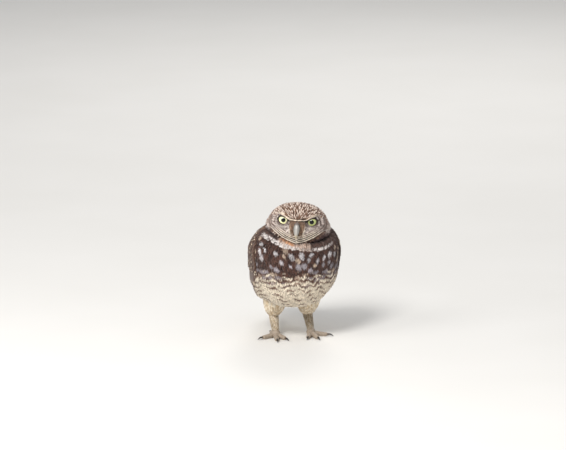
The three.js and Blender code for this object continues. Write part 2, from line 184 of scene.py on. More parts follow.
def wing_bed(u, angle):
    """Share of the folded wing's flesh under a point of the body's surface, 0 to 1."""
    side = np.degrees(np.abs((angle + np.pi) % (2 * np.pi) - np.pi))
    lengthwise = ease(u, 0.08, 0.14) * (1 - ease(u, 0.62, 0.82))
    return lengthwise * ease(side, 22, 40) * (1 - ease(side, 92, 106))


def corners(made):
    """The places of a bmesh's vertices."""
    return np.array([v.co[:] for v in made.verts])


def shaped(made, places):
    """Moves a bmesh's vertices to their places in millimetres."""
    for vert, place in zip(made.verts, places):
        vert.co = Vector(place * MM)
    return made


def solid_copy(name, swell=0.0):
    """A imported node's loose triangles as one closed bmesh, its surface moved out by swell."""
    made = bmesh.new()
    made.from_mesh(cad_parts[name].data)
    bmesh.ops.remove_doubles(made, verts=made.verts[:], dist=2e-6)
    bmesh.ops.recalc_face_normals(made, faces=made.faces[:])
    made.normal_update()
    for vert, normal in [(v, v.normal.copy()) for v in made.verts]:
        vert.co += normal * swell
    return made


def joined(parts, name):
    """Several bmeshes as one mesh."""
    whole = bmesh.new()
    for part in parts:
        step = bpy.data.meshes.new("step")
        part.to_mesh(step)
        part.free()
        whole.from_mesh(step)
        bpy.data.meshes.remove(step)
    mesh = bpy.data.meshes.new(name)
    whole.to_mesh(mesh)
    whole.free()
    return mesh


def linked(name, data):
    """A new object of the scene."""
    made = bpy.data.objects.new(name, data)
    bpy.context.scene.collection.objects.link(made)
    return made


def remeshed(mesh, voxel, name, smooth=2):
    """The mesh fused to one even surface, and smoothed."""
    piece = linked("step", mesh)
    remesh = piece.modifiers.new("Fuse", "REMESH")
    remesh.mode = "VOXEL"
    remesh.voxel_size = voxel
    fused = bpy.data.meshes.new_from_object(
        piece.evaluated_get(bpy.context.evaluated_depsgraph_get())
    )
    bpy.data.objects.remove(piece)
    bpy.data.meshes.remove(mesh)
    fused.name = name
    soft = bmesh.new()
    soft.from_mesh(fused)
    ways = {f"use_axis_{axis}": True for axis in "xyz"}
    for _ in range(smooth):
        bmesh.ops.smooth_vert(soft, verts=soft.verts[:], factor=0.5, **ways)
    bmesh.ops.recalc_face_normals(soft, faces=soft.faces[:])
    soft.to_mesh(fused)
    soft.free()
    return fused


def trunk_at(rise):
    """The body as a closed form; rise(u, angle) is its height over the coat's outer surface."""
    made = bmesh.new()
    bmesh.ops.create_uvsphere(made, u_segments=72, v_segments=54, radius=1)
    way = unit(corners(made))
    share = np.arccos(np.clip(way[:, 2], -1, 1)) / np.pi
    angle = np.arctan2(way[:, 0], way[:, 1])
    u = 0.02 + 0.91 * share
    surface, _ = over_body(u, angle, rise(u, angle))
    middle = (outline(u, 0.0) + outline(u, np.pi)) / 2
    closing = np.sqrt(np.maximum(0, 1 - np.abs(2 * share - 1) ** 10))[:, None]
    return shaped(made, middle + (surface - middle) * closing)


def skull_at(rise):
    """The head as a closed form at a height over the coat's outer surface."""
    made = bmesh.new()
    bmesh.ops.create_icosphere(made, subdivisions=6, radius=1)
    way = corners(made)
    return shaped(made, over_head(way, np.full(len(way), rise))[0])


trunk = trunk_at(lambda u, angle: -COAT["body"] + COAT["wing"] * wing_bed(u, angle))
legs = [
    solid_copy(f"{part}_{side}", swell)
    for part, swell in (("thigh", -0.0008), ("shank", 0.0))
    for side in ("left", "right")
]
feet_top = [solid_copy(f"foot_{side}", 0.0003) for side in ("left", "right")]
flesh = joined([trunk, skull_at(-COAT["head"]), *legs], "owl_skin")
skin = remeshed(flesh, SKIN_VOXEL, "owl_skin", smooth=3)

# Plumage in general. A feather is a light keratin vane on a shaft: dull, softly glossy along its
# barbs, cupped over the body and rounded at its tip. Each is one closed thin mesh, and each coat
# is many of them laid along the owl's form, root under the row before, like tiles.
SEED = {"face": 7, "crown": 11, "body": 23, "wing_left": 31, "wing_right": 47, "legs": 5}
BAKE_PATCH = 0.003
coat_roots, coat_tones = [], []  # where each feather grows and its colour, for the skin below


def linear(code):
    """An sRGB hex colour as linear red, green and blue."""
    parts = [int(code[i:i + 2], 16) / 255 for i in (1, 3, 5)]
    return [c / 12.92 if c <= 0.04045 else ((c + 0.055) / 1.055) ** 2.4 for c in parts]


def add(tree, kind, inputs=(), out=0, **settings):
    """Adds a shader node with its settings, and its inputs set or linked; gives its output."""
    made = tree.nodes.new("ShaderNode" + kind)
    for key, value in settings.items():
        setattr(made, key, value)
    for key, value in dict(inputs).items():
        if isinstance(value, bpy.types.NodeSocket):
            tree.links.new(value, made.inputs[key])
        else:
            made.inputs[key].default_value = value
    return made.outputs if out is None else made.outputs[out]


def new_material(name):
    material = bpy.data.materials.new(name)
    material.use_nodes = True
    material.node_tree.nodes.clear()
    return material, material.node_tree


def feather_blank(stations, widths, columns, frayed=0.0):
    """One closed feather lying flat: across in x, its row in y, its rise over the edges in z."""
    made = bmesh.new()
    rows = len(stations) - 1
    bmesh.ops.create_grid(made, x_segments=columns, y_segments=rows, size=1)
    flat = corners(made)
    row, column = ((((flat[:, k] + 1) / 2) * n).round() for k, n in ((1, rows), (0, columns)))
    row = row.astype(int)
    for vert, r in zip(made.verts, row):
        vert.co = Vector((vert.co.x * widths[r], r, 1 - vert.co.x**2))
    bmesh.ops.holes_fill(made, edges=[e for e in made.edges if e.is_boundary], sides=0)
    bmesh.ops.triangulate(made, faces=made.faces[:])
    bmesh.ops.recalc_face_normals(made, faces=made.faces[:])
    places = corners(made)
    blank = {
        "stations": np.array(stations, float),
        "across": places[:, 0],
        "row": row,
        "rise": places[:, 2],
        "teeth": np.where(row >= rows - 1, frayed * (2 * (column % 2) - 1), 0.0),
        "faces": np.array([[v.index for v in f.verts] for f in made.faces]),
        "upper": np.array([f.normal.z > 0.01 for f in made.faces]),
    }
    made.free()
    return blank


WISP = feather_blank([0, 0.3, 0.65, 1], [0.5, 1, 0.85, 0.12], 2)
PLUME = feather_blank([0, 0.25, 0.5, 0.75, 0.92, 1], [0.4, 0.85, 1, 0.95, 0.7, 0.25], 2)
CONTOUR = feather_blank(
    [0, 0.2, 0.42, 0.64, 0.82, 0.94, 1], [0.35, 0.75, 1, 1, 0.92, 0.7, 0.44], 6, frayed=0.045
)


def scattered(points, pitch, cell):
    """Which of the points to keep so that none is nearer to another than its pitch."""
    kept, grid = [], {}
    steps = list(itertools.product((-1, 0, 1), repeat=3))
    for i, (p, r) in enumerate(zip(points.tolist(), pitch.tolist())):
        a, b, c = int(p[0] // cell), int(p[1] // cell), int(p[2] // cell)
        if all(
            math.dist(p, q) >= r for x, y, z in steps for q in grid.get((a + x, b + y, c + z), ())
        ):
            kept.append(i)
            grid.setdefault((a, b, c), []).append(p)
    return np.array(kept)


def lay(name, blank, at, half, rise, marks, unwrap, material, slot, roll=0.0, sag=0.0):
    """Lays feathers as one piece. at(s) gives each one's point and way out at share s of its
    length, half and rise its half width and thickness, marks its tone, mark and spot, for each
    feather or, from a function of the points, for each vertex."""
    points, outs = (np.stack(values, 1) for values in zip(*(at(s) for s in blank["stations"])))
    shaft = np.gradient(points, axis=1)
    reach = np.linalg.norm(shaft, axis=-1).sum(1)[:, None, None]
    shaft = unit(shaft)
    flat = unit(np.cross(shaft, outs))
    up = np.cross(flat, shaft)
    count, size = len(points), len(blank["row"])
    half, rise, droop, lean = (
        np.broadcast_to(np.asarray(value, float).reshape(-1, 1, 1), (count, 1, 1))
        for value in (half, rise, sag, roll)
    )
    across = flat * np.cos(lean) + up * np.sin(lean)
    out = up * np.cos(lean) - flat * np.sin(lean)
    row, a = blank["row"], blank["across"][None, :, None]
    verts = (
        points[:, row]
        + across[:, row] * a * half
        + shaft[:, row] * blank["teeth"][None, :, None] * reach
        + out[:, row] * (blank["rise"][None, :, None] * rise - droop * a**2 * half)
    ).reshape(-1, 3)
    faces = (blank["faces"][None] + np.arange(count)[:, None, None] * size).reshape(-1, 3)

    mesh = bpy.data.meshes.new(name)
    mesh.vertices.add(len(verts))
    mesh.vertices.foreach_set("co", (verts * MM).ravel())
    mesh.loops.add(faces.size)
    mesh.loops.foreach_set("vertex_index", faces.ravel())
    mesh.polygons.add(len(faces))
    mesh.polygons.foreach_set("loop_start", np.arange(0, faces.size, 3))
    mesh.update(calc_edges=True)
    mesh.polygons.foreach_set("use_smooth", np.tile(blank["upper"], count))

    vane = np.stack([0.5 + 0.5 * blank["across"], blank["stations"][row]], -1)
    vane = np.broadcast_to(vane, (count, size, 2))
    bake = unwrap[:, None] + (vane - 0.5) * BAKE_PATCH
    for title, values in (("Vane", vane), ("OFBake", bake)):
        layer = mesh.uv_layers.new(name=title)
        layer.data.foreach_set("uv", values.reshape(-1, 2)[faces.ravel()].ravel())
    marks = marks(verts.reshape(count, size, 3)) if callable(marks) else marks
    for title, values in marks.items():
        full = np.ones((count, size, 4))
        full[..., : values.shape[-1]] = values if values.ndim == 3 else values[:, None]
        data = mesh.attributes.new(title, "FLOAT_COLOR", "POINT").data
        data.foreach_set("color", full.ravel())
    mesh.materials.append(material)
    piece = linked(name, mesh)
    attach(piece, "root")
    coat_roots.append(points[:, 0])
    coat_tones.append(marks["tone"] if marks["tone"].ndim == 2 else marks["tone"][:, 0])
    return piece


def plumage(name, barbs, bars=0, shaft=0.75, gloss=0.8, fringe=0.25):
    """Feather material: ground tone, a pale mark whose place on the vane each feather carries,
    bars if any, a shaft line, a paler fringe and fine slanting barbs, counted along the vane."""
    material, tree = new_material(name)
    wide, along, _ = add(tree, "SeparateXYZ", {0: add(tree, "UVMap", uv_map="Vane")}, out=None)
    place = add(tree, "TexCoord", out="Object")
    tone = add(tree, "Attribute", attribute_name="tone", out="Color")
    mark = add(tree, "Attribute", attribute_name="mark", out=None)
    spot = add(tree, "Attribute", attribute_name="spot", out=None)
    ahead, spot_long, spot_wide = add(tree, "SeparateColor", {0: spot["Color"]}, out=None)
    ragged = add(tree, "TexNoise", {"Vector": place, "Scale": 1 / (1.2 * MM), "Detail": 2.0})
    side = add(tree, "Math", {0: wide, 1: 0.5}, operation="SUBTRACT")
    side = add(tree, "Math", {0: side}, operation="ABSOLUTE")

    # The mark: a ragged soft spot, and the bars that run across the whole vane
    over = add(tree, "Math", {0: wide, 1: mark["Alpha"]}, operation="SUBTRACT")
    over = add(tree, "Math", {0: over, 1: spot_wide}, operation="DIVIDE")
    ahead = add(tree, "Math", {0: along, 1: ahead}, operation="SUBTRACT")
    ahead = add(tree, "Math", {0: ahead, 1: spot_long}, operation="DIVIDE")
    both = add(tree, "CombineXYZ", {0: over, 1: ahead})
    reach = add(tree, "VectorMath", {0: both}, operation="LENGTH", out="Value")
    rough = add(tree, "Math", {0: ragged, 1: 0.6, 2: reach}, operation="MULTIPLY_ADD")
    mask = add(tree, "MapRange", {"Value": rough, 1: 0.8, 2: 1.7, 3: 1.0, 4: 0.0})
    if bars:
        wave = add(tree, "Math", {0: along, 1: bars * 2 * math.pi}, operation="MULTIPLY")
        for value, share in ((side, 2.0), (ragged, 1.4)):
            wave = add(tree, "Math", {0: value, 1: share, 2: wave}, operation="MULTIPLY_ADD")
        wave = add(tree, "Math", {0: wave}, operation="SINE")
        wave = add(tree, "MapRange", {"Value": wave, 1: 0.45, 2: 0.75})
        mask = add(tree, "Math", {0: mask, 1: wave}, operation="MAXIMUM")
    mask = add(tree, "Math", {0: mask, 1: spot["Alpha"]}, operation="MULTIPLY")
    colour = add(tree, "Mix", {0: mask, 6: tone, 7: mark["Color"]}, data_type="RGBA", out=2)

    # The shade: barbs, shaft, fringe, the root darkened as painted shade under the feathers before,
    # mottling and strands that run lengthwise
    mottle = {"Vector": place, "Scale": 1 / (3 * MM), "Detail": 4.0, "Roughness": 0.6}
    slice_at = add(tree, "SeparateXYZ", {0: place})
    strand = add(tree, "CombineXYZ", {
        i: add(tree, "Math", {0: value, 1: scale}, operation="MULTIPLY")
        for i, (value, scale) in enumerate(((wide, 16.0), (along, 1.6), (slice_at, 1 / (3 * MM))))
    })
    strand = {"Vector": strand, "Scale": 1.0, "Detail": 2.0}
    slant = add(tree, "Math", {0: side, 1: -0.9, 2: along}, operation="MULTIPLY_ADD")
    slant = add(tree, "Math", {0: slant, 1: 2 * math.pi * barbs}, operation="MULTIPLY")
    lines = add(tree, "Math", {0: slant}, operation="SINE")
    shade = add(tree, "MapRange", {"Value": lines, 1: -1.0, 2: 1.0, 3: 0.9, 4: 1.08})
    for value, low, high, dark, light in (
        (side, 0.015, 0.04, shaft, 1.0),
        (side, 0.34, 0.5, 1.0, 1.0 + fringe),
        # the vane darkens towards its root as painted shade under the feather that laps over it, and pales
        # towards its worn tip
        (along, 0.35, 1.0, 0.72, 1.0 + fringe / 2),
        (add(tree, "TexNoise", mottle), 0.25, 0.75, 0.76, 1.22),
        (add(tree, "TexNoise", strand), 0.3, 0.7, 0.8, 1.18),
    ):
        factor = add(tree, "MapRange", {"Value": value, 1: low, 2: high, 3: dark, 4: light})
        shade = add(tree, "Math", {0: shade, 1: factor}, operation="MULTIPLY")
    surface = add(tree, "BsdfPrincipled", {
        "Base Color": add(tree, "VectorMath", {0: colour, "Scale": shade}, operation="SCALE"),
        "Normal": add(tree, "Bump", {"Height": lines, "Strength": 0.3, "Distance": 0.04 * MM}),
        "Roughness": gloss, "IOR": 1.54, "Specular IOR Level": 0.2,
        "Sheen Weight": 0.15, "Sheen Roughness": 0.5,
    })
    add(tree, "OutputMaterial", {0: surface}, out=None)
    return material


def tones(**codes):
    return {name: np.array(linear(code)) for name, code in codes.items()}


def pick(choice, *options):
    """Each feather's tone by its number in choice."""
    spread = np.stack([np.broadcast_to(t, (len(choice), 3)) for t in options])
    return spread[choice, np.arange(len(choice))]


def blend(a, b, share):
    return a + (b - a) * np.asarray(share)[..., None]


def marks(tone, mark=None, spot=None, centre=0.5):
    """A coat's attributes: tone and mark with the mark's place across, and the mark's shape."""
    mark = tone if mark is None else mark
    spot = np.zeros((len(tone), 4)) + [0.5, 0.3, 0.3, 0.0] if spot is None else spot
    across = np.broadcast_to(np.asarray(centre, float), (len(mark),))[:, None]
    return {"tone": tone, "mark": np.concatenate([mark, across], 1), "spot": spot}


# Face. Short stiff disc feathers fan out from the eyes; the lores by the bill are tan bristles,
# the cheeks lilac grey in pale and dark streaks. Cords of feathers draw the pale brow that meets
# over the bill, with a dark row under it over the eyes as painted shadow of the brow, and the thin
# buff and dark lines that follow the disc's lower rim.
face_draw = np.random.default_rng(SEED["face"])
FACE = tones(
    brow="#efdcc6", lore="#b8967a", lore_dark="#7f6553", cheek="#a8978f", cheek_pale="#e8dad0",
    cheek_dark="#65524b", line_pale="#fcefdc", line_dark="#3f2c25", lash="#2a1b16", side="#84695a",
)
FACE_COAT = {"tries": 110000, "pitch": 0.62, "cell": 0.7, "short": 2.4, "long": 4.4, "lore": 3.8}
REACH, LOW, HIGH, AHEAD = 38, -46, 27, 60  # the window over the face, and where it is seen from


def ball(centre, radius, subdivisions):
    made = bmesh.new()
    bmesh.ops.create_icosphere(made, subdivisions=subdivisions, radius=radius * MM)
    bmesh.ops.translate(made, vec=Vector(centre * MM), verts=made.verts[:])
    return made


def eye_centre(side):
    return from_head(np.array([side * EYE["side"], EYE["back"], EYE["up"]]))


# The coat's outermost surface as seen from straight ahead of the face, lids and all: its depth
# at every millimetre across and up, smoothed
domes = [ball(eye_centre(side), EYE["radius"] + 0.5, 4) for side in (1, -1)]
whole = bmesh.new()
whole.from_mesh(joined([trunk_at(lambda u, angle: 0 * u), skull_at(0.0), *domes], "ahead"))
shape = BVHTree.FromBMesh(whole)
whole.free()
depth = np.zeros((2 * REACH + 1, HIGH - LOW + 1))
for i, j in np.ndindex(depth.shape):
    start = from_head(np.array([i - REACH, -AHEAD, j + LOW])) * MM
    run = shape.ray_cast(Vector(start), Vector(HEAD_TURN[:, 1]))[3]
    depth[i, j] = 0.0 if run is None else min(run / MM - AHEAD, 0)
beside = ((0, 0), (0, 1), (0, -1), (1, 0), (-1, 0))
for _ in range(2):
    depth = sum(np.roll(depth, step, (0, 1)) for step in beside) / len(beside)


def depth_at(x, z):
    i, j = np.clip(x + REACH, 0, 2 * REACH - 0.01), np.clip(z - LOW, 0, HIGH - LOW - 0.01)
    a, b = i.astype(int), j.astype(int)
    fx, fz = i - a, j - b
    near = depth[a, b] * (1 - fx) + depth[a + 1, b] * fx
    return near * (1 - fz) + (depth[a, b + 1] * (1 - fx) + depth[a + 1, b + 1] * fx) * fz


def ahead_of_face(x, z, height):
    """A point at a height over the coat as seen from ahead of the face, and the way out."""
    rate_x = (depth_at(x + 1, z) - depth_at(x - 1, z)) / 2
    rate_z = (depth_at(x, z + 1) - depth_at(x, z - 1)) / 2
    out = unit(np.stack([rate_x, -np.ones_like(rate_x), rate_z], -1))
    point = np.stack([x, depth_at(x, z), z], -1) + out * np.asarray(height)[..., None]
    return from_head(point), out @ HEAD_TURN.T


def face_path(x, z, lie, length, low, lift):
    """at(s) for face feathers: from the root at low to the tip at lift over the coat."""
    rate = (depth_at(x + lie[:, 0], z + lie[:, 1]) - depth_at(x - lie[:, 0], z - lie[:, 1])) / 2
    run = length / np.sqrt(1 + rate**2)

    def at(s):
        height = low * (1 - s) ** 2 + lift * s
        return ahead_of_face(x + lie[:, 0] * run * s, z + lie[:, 1] * run * s, height)

    return at


def cord_path(x, curve, toward, length, low, lift, fall):
    """at(s) for feathers that follow a curve z(x) away from the bill, or fall across it."""
    slope = np.gradient(curve(np.stack([np.abs(x) - 0.5, np.abs(x) + 0.5])), axis=0)[0]
    steep = np.sqrt(1 + slope**2)
    run, down = length / steep * (1 - 0.45 * fall), length * fall * 0.75
    onward = run * (1 - fall * (1 - ease(np.abs(x), 0, 9))) + down * slope / steep

    def at(s):
        here = x + toward * onward * s
        z = curve(np.abs(here)) - down * (s - 1) / steep
        return ahead_of_face(here, z, low * (1 - s) ** 2 + lift * s)

    return at


def rim_line(side):
    """The face's lower rim: how high it is at a distance from the middle."""
    return -20.5 + 0.25 * np.abs(side) + 0.0108 * side**2


def brow_line(side):
    return np.interp(side, [0, 7, 10.5, 14, 18.5, 24, 30], [6.2, 6.2, 7.2, 9.2, 11.0, 12.2, 12.4])


def eye_offset(x, z):
    """Place from the nearer eye's middle, across away from the bill and up."""
    return np.abs(x) - EYE["side"], z - EYE["up"]


def eye_share(x, z, margin):
    """Over 1 outside the opening of the eye, widened by margin."""
    across, up = eye_offset(x, z)
    up = up - 0.12 * across
    wide = np.where(across > 0, 5.2, 6.0) + margin
    return np.hypot(across / wide, up / (np.where(up > 0, 3.4, 3.9) + margin))


def face_share(x, z):
    """Whether a place seen from ahead belongs to the face."""
    side = np.abs(x)
    wide = 29.5 - 0.35 * np.maximum(z - 2, 0)
    return (side < wide) & (z > rim_line(side) + 0.5) & (z < brow_line(side) - 0.4)


def head_unwrap(way):
    return np.stack([np.arctan2(way[:, 0], -way[:, 1]) / 7 + 0.5, np.arcsin(way[:, 2]) / 3.5 + 0.5], -1)


def lay_on_face(name, path, half, rise, tone, **bend):
    unwrap = head_unwrap(unit(to_head(path(0.0)[0])))
    lay(name, WISP, path, half, rise, marks(tone), unwrap, small_plumage, "head_plumage", **bend)


x = face_draw.uniform(-30, 30, FACE_COAT["tries"])
z = face_draw.uniform(-21, 15, FACE_COAT["tries"])
side = np.abs(x)
bill_edge = np.interp(z, [-14, -12.5, -9, 2.4, 2.6], [0.3, 1.4, 3.0, 3.0, 0.0])
over_cords = (z > rim_line(side) + 7) | (side > 23)
keep = np.where(face_share(x, z) & over_cords & (eye_share(x, z, 0.55) > 1) & (side > bill_edge))[0]
point = ahead_of_face(x[keep], z[keep], 0.0 * x[keep])[0]
keep = keep[scattered(point, np.full(len(keep), FACE_COAT["pitch"]), FACE_COAT["cell"])]
x, z, side = x[keep], z[keep], side[keep]

# The lie: out from the eye or from the bill's root, down in the lores, outward along the rim
toward = np.sign(x)
across, up = eye_offset(x, z)
from_eye = np.hypot(across, up)
fan = unit(np.stack([x - toward * 9, z - 2.5], -1))
around_eye = unit(np.stack([toward * across, up], -1))
near_eye = (1 - ease(from_eye, 8, 12))[:, None]
lie = unit(fan * (1 - near_eye) + around_eye * near_eye)
lore_edge = np.interp(z, [-14, -9, -3, 3], [1.2, 4.2, 6.8, 8.6])
lore = ((1 - ease(side - lore_edge, -0.5, 3.5)) * (1 - ease(z, 5.5, 6.5)))[:, None]
lie = unit(lie * (1 - lore) + np.stack([0.12 * toward, -np.ones(len(x))], -1) * lore)
low_rim = (1 - ease(z - rim_line(side), 7, 12))[:, None]
lie = unit(lie * (1 - low_rim) + unit(np.stack([toward, 0.25 + 0.0216 * side], -1)) * low_rim)
lie = unit(lie + face_draw.normal(scale=0.1, size=lie.shape))

# The tones: broken rings of pale and dark round the eye, tan lores, a pale moustache, dark lashes
draw, second, third = face_draw.random((3, len(x)))
rings = np.sin(2 * np.pi * from_eye / 3.1 + 1.5 * np.sin(3 * np.arctan2(up, across)) + 1.2 * second)
kind = np.where(rings > 0.35, 1, np.where(rings < -0.45, 2, 0))
kind = np.where(third > 0.82, face_draw.integers(0, 3, len(x)), kind)
tone = pick(kind, FACE["cheek"], FACE["cheek_pale"], FACE["cheek_dark"])
tone = blend(tone, FACE["cheek_pale"], 0.5 * bump(np.hypot(across, up + 7), 4.5))
tone = blend(tone, FACE["side"], 0.7 * ease(side, 22, 29))
tone = blend(tone, FACE["cheek_pale"], 0.6 * ease(-z, 1, 8) * (1 - ease(side, 13, 21)))
darker = np.where(side + 2.5 * draw < 5.2, 0.6, 0.55 * (third > 0.78))
# Towards their top, just under the brow, the lores are darkened as painted shadow of the brow
by_bill = blend(FACE["lore"], FACE["lore_dark"], np.maximum(darker, ease(z, 2.5, 5)))
off_lore = side - lore_edge + 2.4 * (draw - 0.5)
tone = blend(tone, by_bill, (1 - ease(off_lore, -1.0, 1.6)) * (1 - ease(z, 5.8, 6.4)))
moustache = (np.abs(off_lore - 0.9) < 0.9) & (z < 0) & (draw < 0.75)
tone[moustache] = FACE["line_pale"]
tone = blend(tone, FACE["lash"], 0.9 * (eye_share(x, z, 1.0) < 1) * (up > -1.5))
tone = tone * (0.84 + 0.32 * second[:, None])
length = np.where(from_eye < 9, FACE_COAT["short"], FACE_COAT["long"]) * (0.8 + 0.4 * draw)
length = np.where(lore[:, 0] > 0.5, FACE_COAT["lore"], length)
small_plumage = plumage("small_feathers_of_the_face", barbs=9, shaft=0.9)
path = face_path(x, z, lie, length, -1.1, 0.25 + 0.45 * third)
lay_on_face("face_feathers", path, np.where(from_eye < 9, 0.3, 0.4), 0.1, tone,
            roll=face_draw.normal(scale=0.15, size=len(x)), sag=0.1)

# Cords of the rim and the brow: line, offset, first and last mm from the bill, tone, half width, lift
RIM_CORDS = (
    ("line_pale", 1.05), ("line_dark", 0.6), ("line_pale", 0.7), ("line_dark", 0.5),
    ("line_pale", 0.7), ("lore_dark", 0.42), ("line_pale", 0.6), ("lore_dark", 0.4),
)
CORDS = [
    (rim_line, 0.5 + 1.12 * n, -0.9, 26.5 - 1.3 * n, tint, half, 0.9 - 0.07 * n)
    for n, (tint, half) in enumerate(RIM_CORDS)
] + [
    # A dark row under the pale brow, over the eyes only: painted shadow of the overhanging brow
    (brow_line, -0.9, 8.5, 17, "lash", 0.5, 1.0),
    (brow_line, 0.0, -0.8, 17, "brow", 0.6, 1.15),
    (brow_line, 0.9, 9, 18.5, "brow", 0.62, 1.0),
    (brow_line, 1.8, 13, 19, "brow", 0.6, 0.8),
]
CORD_STEP = 0.5
rows = []
for number, (line, offset, first, last, tint, width, top) in enumerate(CORDS):
    for toward in (1, -1):
        run = np.arange(first, last, CORD_STEP)
        count = len(run)
        spread = toward * (run + 0.14 * face_draw.normal(size=count))
        fade = ease(run, last - 9, last)[:, None] * (0.7 if line is rim_line else 0.3)
        tone = FACE[tint] * (1 - fade) + FACE["cheek"] * fade
        tone = tone * (0.85 + 0.3 * face_draw.random((count, 1)))
        half = width * (0.7 + 0.2 * face_draw.random(count))
        lift = top + 0.25 * face_draw.random(count)
        rows.append((spread, np.full(count, number), tone, half, lift, np.full(count, toward)))
x, curve_of, tone, half, lift, ways = (np.concatenate(values) for values in zip(*rows))
jitter = face_draw.normal(scale=0.09, size=len(x))
offset = np.array([cord[1] for cord in CORDS])[curve_of] + jitter
on_rim = np.array([cord[0] is rim_line for cord in CORDS])[curve_of]


def cord_curve(side):
    return np.where(on_rim, rim_line(side), brow_line(side)) + offset


path = cord_path(x, cord_curve, ways, 3.4 + 0.8 * face_draw.random(len(x)), -1.0, lift, 0.5 * on_rim)
lay_on_face("brow_and_rim_feathers", path, half, 0.12, tone,
            roll=face_draw.normal(scale=0.12, size=len(x)), sag=0.1)

# Long dark bristles fall forward over the bill's base
BRISTLES = 80
x = np.concatenate([side * face_draw.uniform(3.3, 7.5, BRISTLES // 2) for side in (1, -1)])
z = face_draw.uniform(-6, 4.6, BRISTLES)
lie = np.stack([-0.15 * np.sign(x), -np.ones(BRISTLES)], -1)
lie = unit(lie + face_draw.normal(scale=0.12, size=(BRISTLES, 2)))
path = face_path(
    x, z, lie, face_draw.uniform(3.5, 6, BRISTLES), -1.0, face_draw.uniform(0.8, 2.0, BRISTLES)
)
tone = pick(face_draw.integers(0, 3, BRISTLES), FACE["lore_dark"], FACE["lash"], FACE["lore"])
lay_on_face("rictal_bristles", path, 0.14, 0.08, tone)

# Crown, nape and sides of the head. Small soft feathers, warm brown, each with a buff-white
# streak by its shaft, narrow and close over the bill and broader behind; they lie up and back.
crown_draw = np.random.default_rng(SEED["crown"])
CROWN = tones(ground="#785a48", nape="#674d3e", side="#82695c", streak="#f0dccb", collar="#472c29")
CROWN_COAT = {"tries": 120000, "pitch": 1.12, "wider": 0.68, "cell": 1.85, "length": 4.2, "rise": 0.06}
SHELL = (60, 72)  # places along and round the body that the head's feathers are held against

body_shell = KDTree(math.prod(SHELL))
shell_u, shell_angle = np.meshgrid(np.linspace(0, 0.7, SHELL[0]), np.linspace(-np.pi, np.pi, SHELL[1]))
shell_point, shell_out = over_body(shell_u.ravel(), shell_angle.ravel(), np.zeros(math.prod(SHELL)))
for index, point in enumerate(shell_point):
    body_shell.insert(Vector(point), index)
body_shell.balance()


def under_body(points):
    """How far each point is inside the body's outline."""
    found = [body_shell.find(Vector(p))[1] for p in points]
    return -np.sum((points - shell_point[found]) * shell_out[found], -1)


def head_path(way, lie, length, lift):
    """at(s) for feathers on the head: from the root along its lie, at the coat's height."""
    start = head_form(way)
    lie = unit(lie - np.sum(lie * unit(start), -1, keepdims=True) * unit(start))

    def at(s):
        height = -COAT["head"] * (1 - s) ** 2.5 + lift * s
        return over_head(start + lie * (length * s)[..., None], height)

    return at


way = unit(crown_draw.normal(size=(CROWN_COAT["tries"], 3)))
form = head_form(way)
side = np.abs(form[:, 0])
of_face = (form[:, 1] < -2) & face_share(form[:, 0], form[:, 2])
over_brow = (form[:, 1] < 0) & (form[:, 2] > 0) & (form[:, 2] < brow_line(side) + 1.2)
near = np.where(~of_face & ~(over_brow & (side < 18)))[0]
near = near[under_body(from_head(form[near])) < 3.0]
far = np.linalg.norm(form - [0, -29, 4], axis=1)
pitch = CROWN_COAT["pitch"] + CROWN_COAT["wider"] * ease(far, 4, 40)
near = near[scattered(form[near], pitch[near], CROWN_COAT["cell"])]
way, form, side, far, pitch = (v[near] for v in (way, form, side, far, pitch))
toward = np.sign(form[:, 0])
low = 1 - ease(form[:, 2], 2, 9)
source = np.stack([toward * 6 * low, np.full(len(form), -29.0), 3 - 1.0 * low], -1)
lie = unit(form - source) + crown_draw.normal(scale=0.09, size=form.shape)
draw, second, third = crown_draw.random((3, len(form)))
flank = ease(side, 19, 28) * (1 - ease(form[:, 2], 6, 16))
tone = blend(CROWN["ground"], CROWN["nape"], ease(form[:, 1], -8, 14))
tone = blend(tone, CROWN["side"], flank)
tone = blend(tone, CROWN["collar"], (form[:, 1] < 0) * ease(rim_line(side) - form[:, 2], -1, 2))
pale = bump(form[:, 2] + 3, 5) * ease(side, 25, 28) * ease(-form[:, 1], -6, 2)
tone = blend(tone, FACE["cheek_pale"], 0.55 * pale * (draw > 0.3))
tone = tone * (0.8 + 0.4 * second[:, None])
streak = CROWN["streak"] * (0.75 + 0.3 * third[:, None]) * (1 - 0.35 * flank)[:, None]
strength = np.where(draw < 0.62 - 0.16 * flank - 0.12 * ease(form[:, 1], -12, 10), 1.0, 0.0)
strength = strength * (form[:, 2] > rim_line(side))
spot = np.stack([0.62 + 0.1 * second, 0.34 + 0.12 * third, 0.2 + 0.1 * second, strength], -1)
length = (CROWN_COAT["length"] + 0.07 * far) * (0.85 + 0.3 * second)
flare = 1.6 * ease(side, 25, 31) * (1 - ease(form[:, 2], -2, 10)) * ease(form[:, 1], -20, -8)
crown_plumage = plumage("streaked_crown_feathers", barbs=12, shaft=0.85)
lay("crown_feathers", CONTOUR, head_path(way, lie, length, 0.3 + 0.3 * draw + flare), 0.58 * pitch,
    CROWN_COAT["rise"], marks(tone, streak, spot), head_unwrap(way), crown_plumage, "head_plumage",
    roll=crown_draw.normal(scale=0.13, size=len(form)), sag=0.12)

